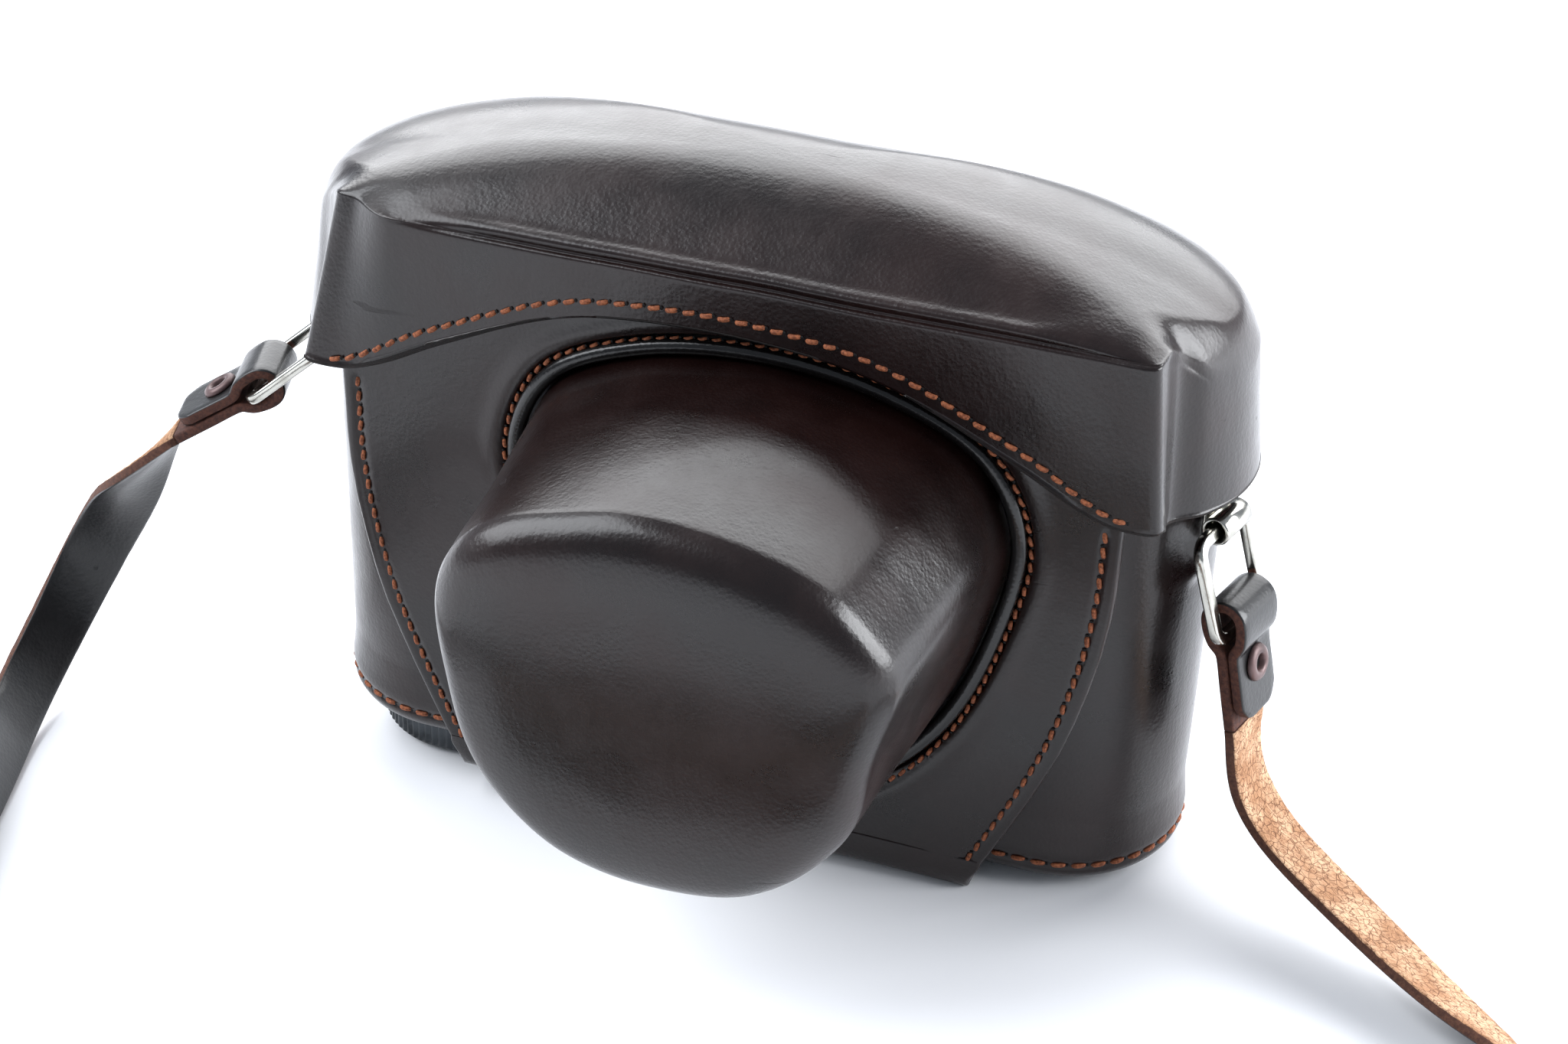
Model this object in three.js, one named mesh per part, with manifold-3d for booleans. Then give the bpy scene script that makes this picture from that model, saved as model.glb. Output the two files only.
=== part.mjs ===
// Leather ever ready case for a rangefinder camera, in millimetres, +Z up, -Y the front with the nose.
// Shapes are drawn in the case's own level frame (z = 0 at the underside of the base), then the whole
// case is set down as it really lies: on the tripod screw at one end and on the fold at the other.
import * as THREE from 'three';
import Module from 'manifold-3d';

const wasm = await Module();
wasm.setup();

// ---------------------------------------------------------------- driving dimensions
const END_X = 53.2;            // centre of each rounded end
const WALL_R = 20.4;           // outer radius of the lower half at its ends, and half its depth
const LEATHER = 2.4;           // moulded leather
const LINING = 0.8;            // velvet lining on its glue
const GAP = 0.3;               // air left between neighbouring pieces
const WALL_TOP_FRONT = 74, WALL_TOP_BACK = 70;
const RIM = 7;                 // turned-in rim under the base
const SEAM_Z = 3.8;            // stitch row round the base
const COVER_R = 25;            // outer radius of the cover at its ends
const COVER_EDGE = 70.6;       // lower edge of the cover at sides and back
const COVER_FRONT_Y = -27.5, COVER_TOP = 110.6, CREASE_Z = 101;
const COVER_CORNER = [67, 72.7];
const FLAP_OUT = -24.9, FLAP_IN = -22.5;
const NOSE_X = 7.2;            // the lens of this camera sits off the middle
const NOSE_TIP = -72, NOSE_RIM_Y = -66;
const RIM_SLIP = -0.8;         // the front of the nose sits this much to one side of its foot
const KNOB_R = 15.8, KNOB_T = 7.5;
const TONGUE_HALF = 44.5, TONGUE_T = 2.2;
const STRAP_W = 11, STRAP_T = 1.8;
const HINGE = { y: -23.6, z: 1.2 };
// ring: clear width, height, thickness; its barrel: degrees it is turned forward, length, outer radius, height
const RING = { gap: 12.4, tall: 16.2, bar: 2, yaw: 16, slid: 2, barrel: 8, roll: 2.35, height: 65.4 };

// the case leans on the screw knob and on the edge of the tongue
const KNOB_FOOT = KNOB_R - 0.9;
const TILT = Math.atan((KNOB_T - TONGUE_T - GAP) / (TONGUE_HALF + END_X - KNOB_FOOT));
const SHIFT = { x: -3.8, y: 21.55, z: 0 };
const lean = new THREE.Matrix4().makeRotationY(TILT);
SHIFT.z = KNOB_T * Math.cos(TILT) - (END_X - KNOB_FOOT) * Math.sin(TILT);

// ---------------------------------------------------------------- small tools
const V = (x, y, z) => new THREE.Vector3(x, y, z);
const lerp = (a, b, t) => a + (b - a) * t;
function step(a, b, x) {                           // 0 before a, 1 after b, smooth between
  const t = Math.min(1, Math.max(0, (x - a) / (b - a)));
  return t * t * (3 - 2 * t);
}

function smoothClosed(points, count) {            // closed curve through points, count samples
  const curve = new THREE.CatmullRomCurve3(points.map(([x, z]) => V(x, 0, z)), true, 'centripetal');
  return Array.from({ length: count }, (_, i) => curve.getPoint(i / count)).map(p => [p.x, p.z]);
}
function mirrored(half) {                          // half outline from top centre to bottom centre, x >= 0
  return [...half, ...half.slice(1, -1).reverse().map(([x, z]) => [-x, z])];
}
function along(table, x) {                         // straight line between the table's points
  if (x <= table[0][0]) return table[0][1];
  for (let i = 1; i < table.length; i++) {
    if (x <= table[i][0]) {
      const t = (x - table[i - 1][0]) / (table[i][0] - table[i - 1][0]);
      return lerp(table[i - 1][1], table[i][1], t);
    }
  }
  return table[table.length - 1][1];
}
function outward(geometry) {                       // faces out whatever way the rings were wound
  const p = geometry.attributes.position, idx = geometry.index.array;
  let volume = 0;
  for (let i = 0; i < idx.length; i += 3) {
    const a = V().fromBufferAttribute(p, idx[i]), b = V().fromBufferAttribute(p, idx[i + 1]);
    volume += a.dot(b.cross(V().fromBufferAttribute(p, idx[i + 2])));
  }
  if (volume < 0) for (let i = 0; i < idx.length; i += 3) [idx[i], idx[i + 1]] = [idx[i + 1], idx[i]];
  return geometry;
}
// skin over rings of points; each ring closes on itself; closed joins the last ring to the first,
// otherwise both ends are closed flat
function skin(rings, closed = false) {
  const n = rings[0].length, pos = [], idx = [];
  rings.forEach(r => r.forEach(p => pos.push(p.x, p.y, p.z)));
  const m = rings.length, last = closed ? m : m - 1;
  for (let j = 0; j < last; j++) {
    for (let i = 0; i < n; i++) {
      const next = (i + 1) % n, above = ((j + 1) % m) * n;
      const a = j * n + i, b = j * n + next, c = above + next, d = above + i;
      idx.push(a, b, c, a, c, d);
    }
  }
  if (!closed) {
    const flat = ring => {                         // ring seen along its own normal
      const turning = (sum, p, i) => sum.add(p.clone().cross(ring[(i + 1) % n]));
      const normal = ring.reduce(turning, V(0, 0, 0)).normalize();
      const u = ring[1].clone().sub(ring[0]).normalize(), w = normal.clone().cross(u);
      return ring.map(p => new THREE.Vector2(p.dot(u), p.dot(w)));
    };
    [[0, -1], [m - 1, 1]].forEach(([j, way]) => {
      const outline = flat(rings[j]);
      THREE.ShapeUtils.triangulateShape(outline, []).forEach(([a, b, c]) => {
        const turn = outline[b].clone().sub(outline[a]).cross(outline[c].clone().sub(outline[a]));
        const corners = turn * way > 0 ? [a, b, c] : [a, c, b];
        idx.push(...corners.map(k => j * n + k));
      });
    });
  }
  const g = new THREE.BufferGeometry();
  g.setAttribute('position', new THREE.Float32BufferAttribute(pos, 3));
  g.setIndex(idx);
  return outward(g);
}
function solid(geometry) {                         // three.js geometry to a manifold solid
  const g = geometry.index ? geometry : mergeAll(geometry);
  return new wasm.Manifold(new wasm.Mesh({
    numProp: 3,
    vertProperties: new Float32Array(g.attributes.position.array),
    triVerts: new Uint32Array(g.index.array),
  }));
}
function mergeAll(geometry) {                      // weld equal points of a soup
  const p = geometry.attributes.position, map = new Map(), pos = [], idx = [];
  for (let i = 0; i < p.count; i++) {
    const key = [p.getX(i), p.getY(i), p.getZ(i)].map(v => Math.round(v * 1e4)).join();
    if (!map.has(key)) {
      map.set(key, pos.length / 3);
      pos.push(p.getX(i), p.getY(i), p.getZ(i));
    }
    idx.push(map.get(key));
  }
  const g = new THREE.BufferGeometry();
  g.setAttribute('position', new THREE.Float32BufferAttribute(pos, 3));
  g.setIndex(idx.filter((_, i) => {
    const t = i - i % 3;
    return idx[t] !== idx[t + 1] && idx[t + 1] !== idx[t + 2] && idx[t] !== idx[t + 2];
  }));
  return g;
}
function geometryOf(manifold) {
  const mesh = manifold.getMesh(), g = new THREE.BufferGeometry();
  const pos = new Float32Array(mesh.numVert * 3);
  pos.forEach((_, i) => {
    pos[i] = mesh.vertProperties[Math.floor(i / 3) * mesh.numProp + i % 3];
  });
  g.setAttribute('position', new THREE.BufferAttribute(pos, 3));
  g.setIndex(Array.from(mesh.triVerts));
  return g;
}
// flat piece with an outline in x and y between two heights, as a solid
function prism(outline, z0, z1) {
  const shape = new THREE.Shape(outline.map(([x, y]) => new THREE.Vector2(x, y)));
  const g = new THREE.ExtrudeGeometry(shape, { depth: z1 - z0, bevelEnabled: false, steps: 1 });
  g.translate(0, 0, z0);
  g.deleteAttribute('normal');
  g.deleteAttribute('uv');
  return outward(mergeAll(g.index ? g.toNonIndexed() : g));
}
// plate between two y planes with an outline in x and z, and an optional hole
function plate(outline, yFront, yBack, hole) {
  const upright = (points, y0, y1) => {
    const g = prism(points, 0, y1 - y0);
    g.rotateX(Math.PI / 2);
    g.translate(0, y1, 0);
    return solid(g);
  };
  const whole = upright(outline, yFront, yBack);
  return hole ? whole.subtract(upright(hole, yFront - 2, yBack + 2)) : whole;
}
function tube(points, radius, closed, sides = 5) { // thin round thread or cord along points
  const n = points.length, rings = [];
  for (let i = 0; i < n; i++) {
    const prev = points[closed ? (i + n - 1) % n : Math.max(0, i - 1)];
    const next = points[closed ? (i + 1) % n : Math.min(n - 1, i + 1)];
    const t = next.clone().sub(prev).normalize();
    const side = t.clone().cross(Math.abs(t.y) > 0.9 ? V(0, 0, 1) : V(0, 1, 0)).normalize();
    const up = side.clone().cross(t);
    rings.push(Array.from({ length: sides }, (_, k) => {
      const a = 2 * Math.PI * k / sides;
      const round = points[i].clone().addScaledVector(side, radius * Math.cos(a));
      return round.addScaledVector(up, radius * Math.sin(a));
    }));
  }
  return skin(rings, closed);
}
function disc(radius, z0, z1, x, y, segments = 32, edge = 0) { // short upright cylinder, edge = chamfer
  const corners = [[radius - edge, z0], [radius, z0 + edge], [radius, z1 - edge], [radius - edge, z1]];
  const profile = [[0, z0], ...corners, [0, z1]]
    .filter((p, i, all) => i === 0 || Math.hypot(p[0] - all[i - 1][0], p[1] - all[i - 1][1]) > 1e-6);
  const g = new THREE.LatheGeometry(profile.map(([r, z]) => new THREE.Vector2(r, z)), segments);
  g.deleteAttribute('normal'); g.deleteAttribute('uv');
  g.rotateX(Math.PI / 2);
  g.translate(x, y, 0);
  return outward(mergeAll(g.toNonIndexed()));
}

// ---------------------------------------------------------------- outlines of the case
// ring of [x, y] round the lower half, anticlockwise from the front middle
function stadium(offset, straight = 8, arc = 12) {
  const r = WALL_R + offset, pts = [];
  const line = (x0, x1, y, count) => {
    for (let i = 0; i < count; i++) pts.push([lerp(x0, x1, i / count), y]);
  };
  const end = (x, from) => {
    for (let i = 0; i < arc; i++) {
      const a = from + Math.PI * i / arc;
      pts.push([x + r * Math.cos(a), r * Math.sin(a)]);
    }
  };
  line(0, END_X, -r, straight);
  end(END_X, -Math.PI / 2);
  line(END_X, -END_X, r, 2 * straight);
  end(-END_X, Math.PI / 2);
  line(-END_X, 0, -r, straight);
  return pts;
}
const wallTop = y => lerp(WALL_TOP_FRONT, WALL_TOP_BACK, step(-2, 5, y));

// closed band round the lower half from a profile of [offset, z]
function band(profile) {
  const height = (z, y) => (typeof z === 'function' ? z(y) : z);
  return skin(profile.map(([o, z]) => stadium(o).map(([x, y]) => V(x, y, height(z, y)))), true);
}
function slabUnder(offset, z0, z1) {
  return skin([z0, z1].map(z => stadium(offset).map(([x, y]) => V(x, y, z))));
}

// nose: outlines of the opening and of the front rim, relative to the nose's own middle
const OPENING = mirrored([
  [0, 87], [19, 84.4], [33, 77.5], [38.8, 66], [36.5, 49], [29, 30], [17, 17.5], [0, 12.5],
]);
const SEAM = mirrored([
  [0, 90], [20, 87.2], [36, 79.3], [42.4, 65], [39.8, 48.5], [31.8, 27.4], [18.7, 12.9], [0, 8],
]);
const RIM_FRONT = mirrored([
  [0, 84], [14, 82.3], [27.2, 76.5], [33.9, 66], [33, 51], [28.2, 35.3], [15.8, 23.4], [0, 20.2],
]).map(([x, z]) => [x + RIM_SLIP, z]);
const NOSE_MID = 50;
function outlineAt(points, grow, count = 48) {      // outline grown or shrunk about the nose's middle
  return smoothClosed(points, count).map(([x, z]) => {
    const r = Math.hypot(x, z - NOSE_MID), k = (r + grow) / r;
    return [x * k + NOSE_X, NOSE_MID + (z - NOSE_MID) * k];
  });
}
function noseRings(inset) {                          // from the flap to the front's middle
  const rings = [], a = outlineAt(OPENING, -inset), b = outlineAt(RIM_FRONT, -inset);
  const tip = NOSE_TIP + inset, rim = NOSE_RIM_Y + inset * 0.4;
  for (const s of [0, 0.33, 0.66, 1]) {
    const y = lerp(FLAP_IN - 0.6, rim, s);
    rings.push(a.map(([x, z], i) => V(lerp(x, b[i][0], s), y, lerp(z, b[i][1], s))));
  }
  for (const [k, d] of [[0.965, 0.4], [0.9, 0.68], [0.78, 0.85], [0.5, 0.97], [0.2, 1]]) {
    const y = lerp(rim, tip, d);
    rings.push(b.map(([x, z]) => V(NOSE_X + (x - NOSE_X) * k, y, NOSE_MID + (z - NOSE_MID) * k)));
  }
  return rings;
}
function noseCup(inset, thick, flange) {             // open cup with a sewing flange behind the flap
  const outer = noseRings(inset), inner = noseRings(inset + thick);
  const list = [...outer.reverse()];                // front middle ... flap, outside
  if (flange) {
    const near = FLAP_IN + GAP, far = near + 1, f = outlineAt(SEAM, 3);
    const atY = (outline, y) => outline.map(([x, z]) => V(x, y, z));
    list.push(atY(outlineAt(OPENING, -inset), near), atY(f, near), atY(f, far));
    list.push(atY(outlineAt(OPENING, -inset - thick), far));
  }
  list.push(...inner);
  return skin(list);
}

// ---------------------------------------------------------------- cover
// ring of the cover: front panel, pinched ridge, rounded end, back; inset shrinks it, up = 0 at the
// lower edge and 1 at the shoulder
const ARCH = [
  [0, 92], [16.5, 91], [22.5, 90], [28.5, 88.2], [35, 85.5],
  [42, 82.2], [48.6, 79], [56.6, 74.8], [62, 72.9], [67, 72.7],
];
function coverRing(up, inset) {
  const r = lerp(COVER_R, COVER_R - 2.6, up) - inset, fy = COVER_FRONT_Y + inset;
  const px = lerp(COVER_CORNER[0], 64, up) - inset * 1.3, pts = [];
  const half = [];
  for (let i = 0; i <= 10; i++) half.push([px * i / 10, fy]);
  half.push([px + 1.5, fy + 1.0], [px + 1.9, fy + 3.2]);
  for (let i = 0; i <= 10; i++) {
    const a = THREE.MathUtils.degToRad(lerp(-52, 90, i / 10));
    half.push([END_X + r * Math.cos(a), r * Math.sin(a)]);
  }
  half.push([END_X * 0.6, r], [END_X * 0.25, r]);
  half.forEach(p => pts.push(p));
  half.slice(1).reverse().forEach(([x, y]) => pts.push([-x, y]));
  return pts;
}
const frontness = y => step(12, 21, -y);
function coverRings(inset) {                          // lower edge up to the middle of the dome
  const rings = [], edge = coverRing(0, inset), shoulder = coverRing(1, inset);
  const zEdge = edge.map(([x, y]) => (y < -24 + inset ? along(ARCH, Math.abs(x)) : COVER_EDGE));
  const zShoulder = shoulder.map(([x, y]) => lerp(y > 0 ? 91.5 : 89, CREASE_Z, frontness(y)) - inset);
  for (const v of [0, 0.5, 1]) {
    rings.push(edge.map(([x, y], i) => {
      const [sx, sy] = shoulder[i];
      return V(lerp(x, sx, v), lerp(y, sy, v), lerp(zEdge[i], zShoulder[i], v));
    }));
  }
  const top = COVER_TOP - inset;
  for (const k of [0.97, 0.9, 0.78, 0.6, 0.35]) {
    rings.push(shoulder.map(([x, y], i) => {
      const w = frontness(y), rise = lerp(Math.sqrt(1 - k ** 2.15), 1 - k * k, w);
      return V(x * k, y * k, lerp(zShoulder[i], top, rise));
    }));
  }
  return rings;
}
function coverShell(inset, thick, trim = 0) {
  const outer = coverRings(inset), inner = coverRings(inset + thick);
  if (trim) [outer, inner].forEach(set => set[0].forEach(p => { p.z += trim; }));
  return skin([...outer.reverse(), ...inner]);
}

// ---------------------------------------------------------------- flap
const FLAP_EDGE = [
  [2.6, 46], [5.4, 47.4], [10.8, 49.9], [17.3, 52.8], [23, 55.1], [29, 57.3],
  [35, 59], [41.4, 60.5], [48.2, 61.8], [55, 62.6], [60, 62.9], [76, 63],
];
const FLAP_TOP = [[58, 79.2], [50, 83.8], [43, 87.6], [35, 91.2], [26, 94.6], [14, 96.9], [0, 97.6]];
function flapOutline(inset) {                         // closed outline of [x, z]
  const right = FLAP_EDGE.map(([z, x]) => [x - inset, z + (z < 3 ? inset : 0)]);
  const top = FLAP_TOP.map(([x, z]) => [x, z - inset]);
  const half = [...right, ...top];
  return [...half, ...half.slice(0, -1).reverse().map(([x, z]) => [-x, z])];
}
const flapEdgeX = z => along(FLAP_EDGE, z);

// ---------------------------------------------------------------- straps, rings and hangers
// frame of the hanger on one side: along its barrel, outwards, and the barrel's middle
function hanger(side) {
  const a = THREE.MathUtils.degToRad(RING.yaw);
  const axis = V(side * Math.sin(a), Math.cos(a), 0), out = V(side * Math.cos(a), -Math.sin(a), 0);
  const mid = out.clone().multiplyScalar(WALL_R + GAP + RING.roll).add(V(side * END_X, 0, RING.height));
  return { axis, out, mid };
}
// plane of the ring: leaning degrees from hanging straight down, towards the outside
function ringFrame(side) {
  const { axis, out, mid } = hanger(side), leanDeg = side > 0 ? 19 : 50;
  const a = THREE.MathUtils.degToRad(leanDeg);
  const down = out.clone().multiplyScalar(Math.sin(a)).add(V(0, 0, -Math.cos(a)));
  const normal = out.clone().multiplyScalar(Math.cos(a)).add(V(0, 0, Math.sin(a)));
  return { axis, down, normal, mid: mid.clone().addScaledVector(axis, side > 0 ? -RING.slid : RING.slid) };
}
function ringSolid(side) {                            // flat strip bent to a four-sided ring
  const { axis, down, normal, mid } = ringFrame(side), b = RING.bar;
  const w = RING.gap / 2 + b / 2, h = RING.tall, c = 2.4;
  const path = [];
  const corners = [[-w, 0], [w, 0], [w, h], [-w, h]];
  corners.forEach(([u, v], i) => {
    const [pu, pv] = corners[(i + 3) % 4], [nu, nv] = corners[(i + 1) % 4];
    const corner = new THREE.Vector2(u, v);
    const before = new THREE.Vector2(pu, pv).sub(corner).setLength(c).add(corner);
    const after = new THREE.Vector2(nu, nv).sub(corner).setLength(c).add(corner);
    const bend = new THREE.QuadraticBezierCurve(before, corner, after);
    path.push(...bend.getPoints(2).map(p => [p.x, p.y]));
  });
  const n = path.length;
  const rings = path.map(([u, v], i) => {
    const [pu, pv] = path[(i + n - 1) % n], [nu, nv] = path[(i + 1) % n];
    const tu = nu - pu, tv = nv - pv, l = Math.hypot(tu, tv), ou = tv / l, ov = -tu / l;
    return [[-0.5, -0.5], [0.5, -0.5], [0.5, 0.5], [-0.5, 0.5]].map(([p, q]) => {
      const at = mid.clone().addScaledVector(axis, u + ou * p * b).addScaledVector(down, v + ov * p * b);
      return at.addScaledVector(normal, q * b * 0.85);
    });
  });
  return skin(rings, true);
}
function hangerSolid(side) {                          // roll round the ring's top bar, with a leaf up the wall
  const { axis, out, mid } = hanger(side), half = RING.barrel / 2, ri = 1.65, ro = RING.roll;
  const at = (s, [p, q]) => mid.clone().addScaledVector(axis, s).addScaledVector(out, p).add(V(0, 0, q));
  const through = profile => solid(skin([-half, half].map(s => profile.map(p => at(s, p)))));
  const arc = Array.from({ length: 13 }, (_, i) => THREE.MathUtils.degToRad(lerp(-180, 120, i / 12)));
  const roll = through([
    ...arc.map(a => [ro * Math.cos(a), ro * Math.sin(a)]),
    ...arc.reverse().map(a => [ri * Math.cos(a), ri * Math.sin(a)]),
  ]);
  const leaf = through([[-ro, -0.6], [-ri, -0.6], [-ri, 5.8], [-ro, 5.8]]);
  return geometryOf(roll.add(leaf));
}
// fold of strap round the ring's lower bar: d runs down the strap, n points away from the case
function strapFrame(side) {
  const f = ringFrame(side), a = THREE.MathUtils.degToRad(side > 0 ? 14 : 58);
  const { out } = hanger(side);
  const d = out.clone().multiplyScalar(Math.sin(a)).add(V(0, 0, -Math.cos(a)));
  const n = out.clone().multiplyScalar(Math.cos(a)).add(V(0, 0, Math.sin(a)));
  const bar = f.mid.clone().addScaledVector(f.down, RING.tall);
  const top = bar.clone().addScaledVector(d, -2.3).addScaledVector(n, 0.2);
  return { axis: f.axis, d, n, top };
}
function strapFold(side) {
  const { axis, d, n, top } = strapFrame(side), t = STRAP_T / 2, near = t + GAP / 2, loop = 2.9;
  // centreline [n, d] from the long side, over the top, down the riveted tail
  const leg = [[near + 1.35, 3.4], [near + 0.2, 5.1], [near, 5.9], [near, 11.5]];
  const over = Array.from({ length: 7 }, (_, i) => Math.PI * (1 - i / 6));
  const centre = [
    [-near, 17], ...leg.map(([p, q]) => [-p, q]).reverse(),
    ...over.map(a => [loop * Math.cos(a), -loop * Math.sin(a)]),
    ...leg, [near, 13.6], [near, 15.7], [near, 17],
  ];
  const last = centre.length - 1;
  const halfWidth = i => STRAP_W / 2 * (i === last ? 0.45 : i === last - 1 ? 0.78 : 1);   // clipped tip
  const rings = centre.map(([p, q], i) => {
    const a = centre[Math.max(0, i - 1)], b = centre[Math.min(last, i + 1)];
    const l = Math.hypot(b[0] - a[0], b[1] - a[1]), on = -(b[1] - a[1]) / l, od = (b[0] - a[0]) / l;
    const w = halfWidth(i);
    return [[-w, -t], [w, -t], [w, t], [-w, t]].map(([s, o]) =>
      top.clone().addScaledVector(axis, s).addScaledVector(n, p + on * o).addScaledVector(d, q + od * o));
  });
  return geometryOf(solid(skin(rings)).subtract(drill(side, 2.0, 5)));
}
const EYELET_DOWN = 8.7;                              // from the top of the fold to the eyelet
function drill(side, radius, reach, from = -reach) {  // round rod through the fold at the eyelet
  const { n, d, top, axis } = strapFrame(side), at = top.clone().addScaledVector(d, EYELET_DOWN);
  const ring = s => Array.from({ length: 20 }, (_, i) => {
    const a = 2 * Math.PI * i / 20;
    const rim = at.clone().addScaledVector(axis, radius * Math.cos(a)).addScaledVector(d, radius * Math.sin(a));
    return rim.addScaledVector(n, s);
  });
  return solid(skin([ring(from), ring(reach)]));
}
function eyelet(side) {                               // tube with a collar on each face
  const near = STRAP_T + GAP / 2 + 0.2, far = near + 0.7;
  const body = drill(side, 1.7, far).add(drill(side, 3.1, far, near)).add(drill(side, 3.1, -near, -far));
  return geometryOf(body.subtract(drill(side, 1.1, far + 2)));
}
// flat strap along points, face gives the direction its dark side looks
function strap(points, faces) {
  const n = points.length;
  return skin(points.map((p, i) => {
    const t = points[Math.min(n - 1, i + 1)].clone().sub(points[Math.max(0, i - 1)]).normalize();
    const across = t.clone().cross(faces[i]).normalize(), f = across.clone().cross(t).normalize();
    return [[-1, -1], [1, -1], [1, 1], [-1, 1]].map(([a, b]) => {
      const q = p.clone().addScaledVector(across, a * STRAP_W / 2).addScaledVector(f, b * STRAP_T / 2);
      return q.setZ(Math.max(q.z, 0.05));
    });
  }));
}
// middle line of each half after its fold, as it lies: x, y, z and how far the dark side is turned, in
// degrees, from facing the inside of the loop (0, the strap standing on its edge) to facing down (90)
const edgeZ = turn => 0.1 + STRAP_W / 2 * Math.cos(turn) + STRAP_T / 2 * Math.abs(Math.sin(turn));
const STRAP_ROUTES = {
  right: [
    [80.4, 13.2, 22, 86], [83, 12.8, 16.6, 80], [88, 9, 13, 76], [95.1, 4.6, 10.5, 73],
    [101.9, -0.3, 8.5, 71], [108.5, -5.2, 6.6, 70], [115, -10, 5.2, 68], [122.8, -15.2, 0, 62],
    [130, -22, 0, 48], [135.5, -33, 0, 28], [138, -48, 0, 8], [136, -66, 0, 0],
    [126, -82, 0, 0], [108, -92, 0, 0], [80, -96.5, 0, 0], [40, -98, 0, 0],
    [0, -99.5, 0, 0], [-40, -101, 0, 0], [-56, -103, 0, 0], [-62.5, -109, 0, 0],
    [-56, -115, 0, 0], [-40, -117, 0, 0], [-10, -116.5, 0, 0], [30, -116, 0, 0],
  ],
  left: [
    [-112.5, 10.5, 44.5, 62], [-119.8, 15, 35.5, 24], [-127.8, 16.8, 24.4, -5], [-131.8, 11, 15, -22],
    [-133, 2, 9, -32], [-131.4, -11.4, 0, -35], [-127.8, -21, 0, -30], [-121, -40, 0, -12],
    [-114, -60, 0, 0], [-106, -85, 0, 0], [-96, -106, 0, 0], [-80, -121, 0, 0],
    [-56, -129, 0, 0], [-20, -131.5, 0, 0], [30, -132, 0, 0], [80, -131.5, 0, 0],
    [102, -130, 0, 0], [110, -124, 0, 0], [103, -118, 0, 0], [80, -116.5, 0, 0],
    [54, -116, 0, 0], [30, -116, 0, 0],
  ],
};
const STRAP_STEPS = 80;
const TURN_IN = 22;                                   // length over which the strap leaves the fold's twist
function strapHalf(name, side) {
  const { d, n, top } = strapFrame(side);
  const near = STRAP_T / 2 + GAP / 2;
  const start = [18.9, 21.2].map(q => set(top.clone().addScaledVector(n, -near).addScaledVector(d, q)));
  const turns = [90, 88, ...STRAP_ROUTES[name].map(p => p[3])].map(THREE.MathUtils.degToRad);
  const route = STRAP_ROUTES[name].map(([x, y, z], i) => V(x, y, z || edgeZ(turns[i + 2])));
  if (name === 'left') route[route.length - 1].x += GAP;
  const curve = new THREE.CatmullRomCurve3([...start, ...route], false, 'centripetal');
  curve.arcLengthDivisions = 800;
  const total = curve.getLength(), points = [], faces = [];
  let carried = setDir(n).negate();
  for (let i = 0; i <= STRAP_STEPS; i++) {
    const u = curve.getUtoTmapping(i / STRAP_STEPS), at = u * (turns.length - 1);
    const k = Math.min(turns.length - 2, Math.floor(at));
    const turn = lerp(turns[k], turns[k + 1], step(0, 1, at - k));
    const t = i ? curve.getTangent(u) : setDir(d);
    carried.addScaledVector(t, -carried.dot(t)).normalize();
    const inside = t.clone().cross(V(0, 0, side)).normalize();
    const up = V(0, 0, 1).addScaledVector(t, -t.z).normalize();
    const wanted = inside.multiplyScalar(Math.cos(turn)).addScaledVector(up, -Math.sin(turn));
    points.push(curve.getPoint(u));
    faces.push(carried.clone().lerp(wanted, step(0, TURN_IN, total * i / STRAP_STEPS)).normalize());
  }
  return strap(points, faces);
}

// ---------------------------------------------------------------- into the resting pose
function set(p) { return p.clone().applyMatrix4(lean).add(V(SHIFT.x, SHIFT.y, SHIFT.z)); }
function setDir(v) { return v.clone().applyMatrix4(new THREE.Matrix4().extractRotation(lean)); }

const group = new THREE.Group();
group.name = 'ever_ready_case';
const FINISHES = {
  leather: { color: 0x241615, roughness: 0.35, metalness: 0 },
  thread: { color: 0xb4603a, roughness: 0.8, metalness: 0 },
  lining: { color: 0x5d1f22, roughness: 0.9, metalness: 0 },
  piping: { color: 0x151112, roughness: 0.3, metalness: 0 },
  nickel: { color: 0xd8d6d0, roughness: 0.2, metalness: 0.9 },
  knob: { color: 0x44474b, roughness: 0.4, metalness: 0.9 },
  flesh: { color: 0xb98255, roughness: 0.9, metalness: 0 },
  eyelet: { color: 0x7d5a5a, roughness: 0.5, metalness: 0.6 },
  brass: { color: 0xa98a4c, roughness: 0.3, metalness: 0.9 },
};
function put(name, geometry, finish, placed = false) {
  geometry.deleteAttribute('normal');
  geometry.deleteAttribute('uv');
  if (!placed) {
    geometry.applyMatrix4(lean);
    geometry.translate(SHIFT.x, SHIFT.y, SHIFT.z);
  }
  geometry.computeVertexNormals();
  const mesh = new THREE.Mesh(geometry, new THREE.MeshStandardMaterial(FINISHES[finish]));
  mesh.name = name;
  group.add(mesh);
}

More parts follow.
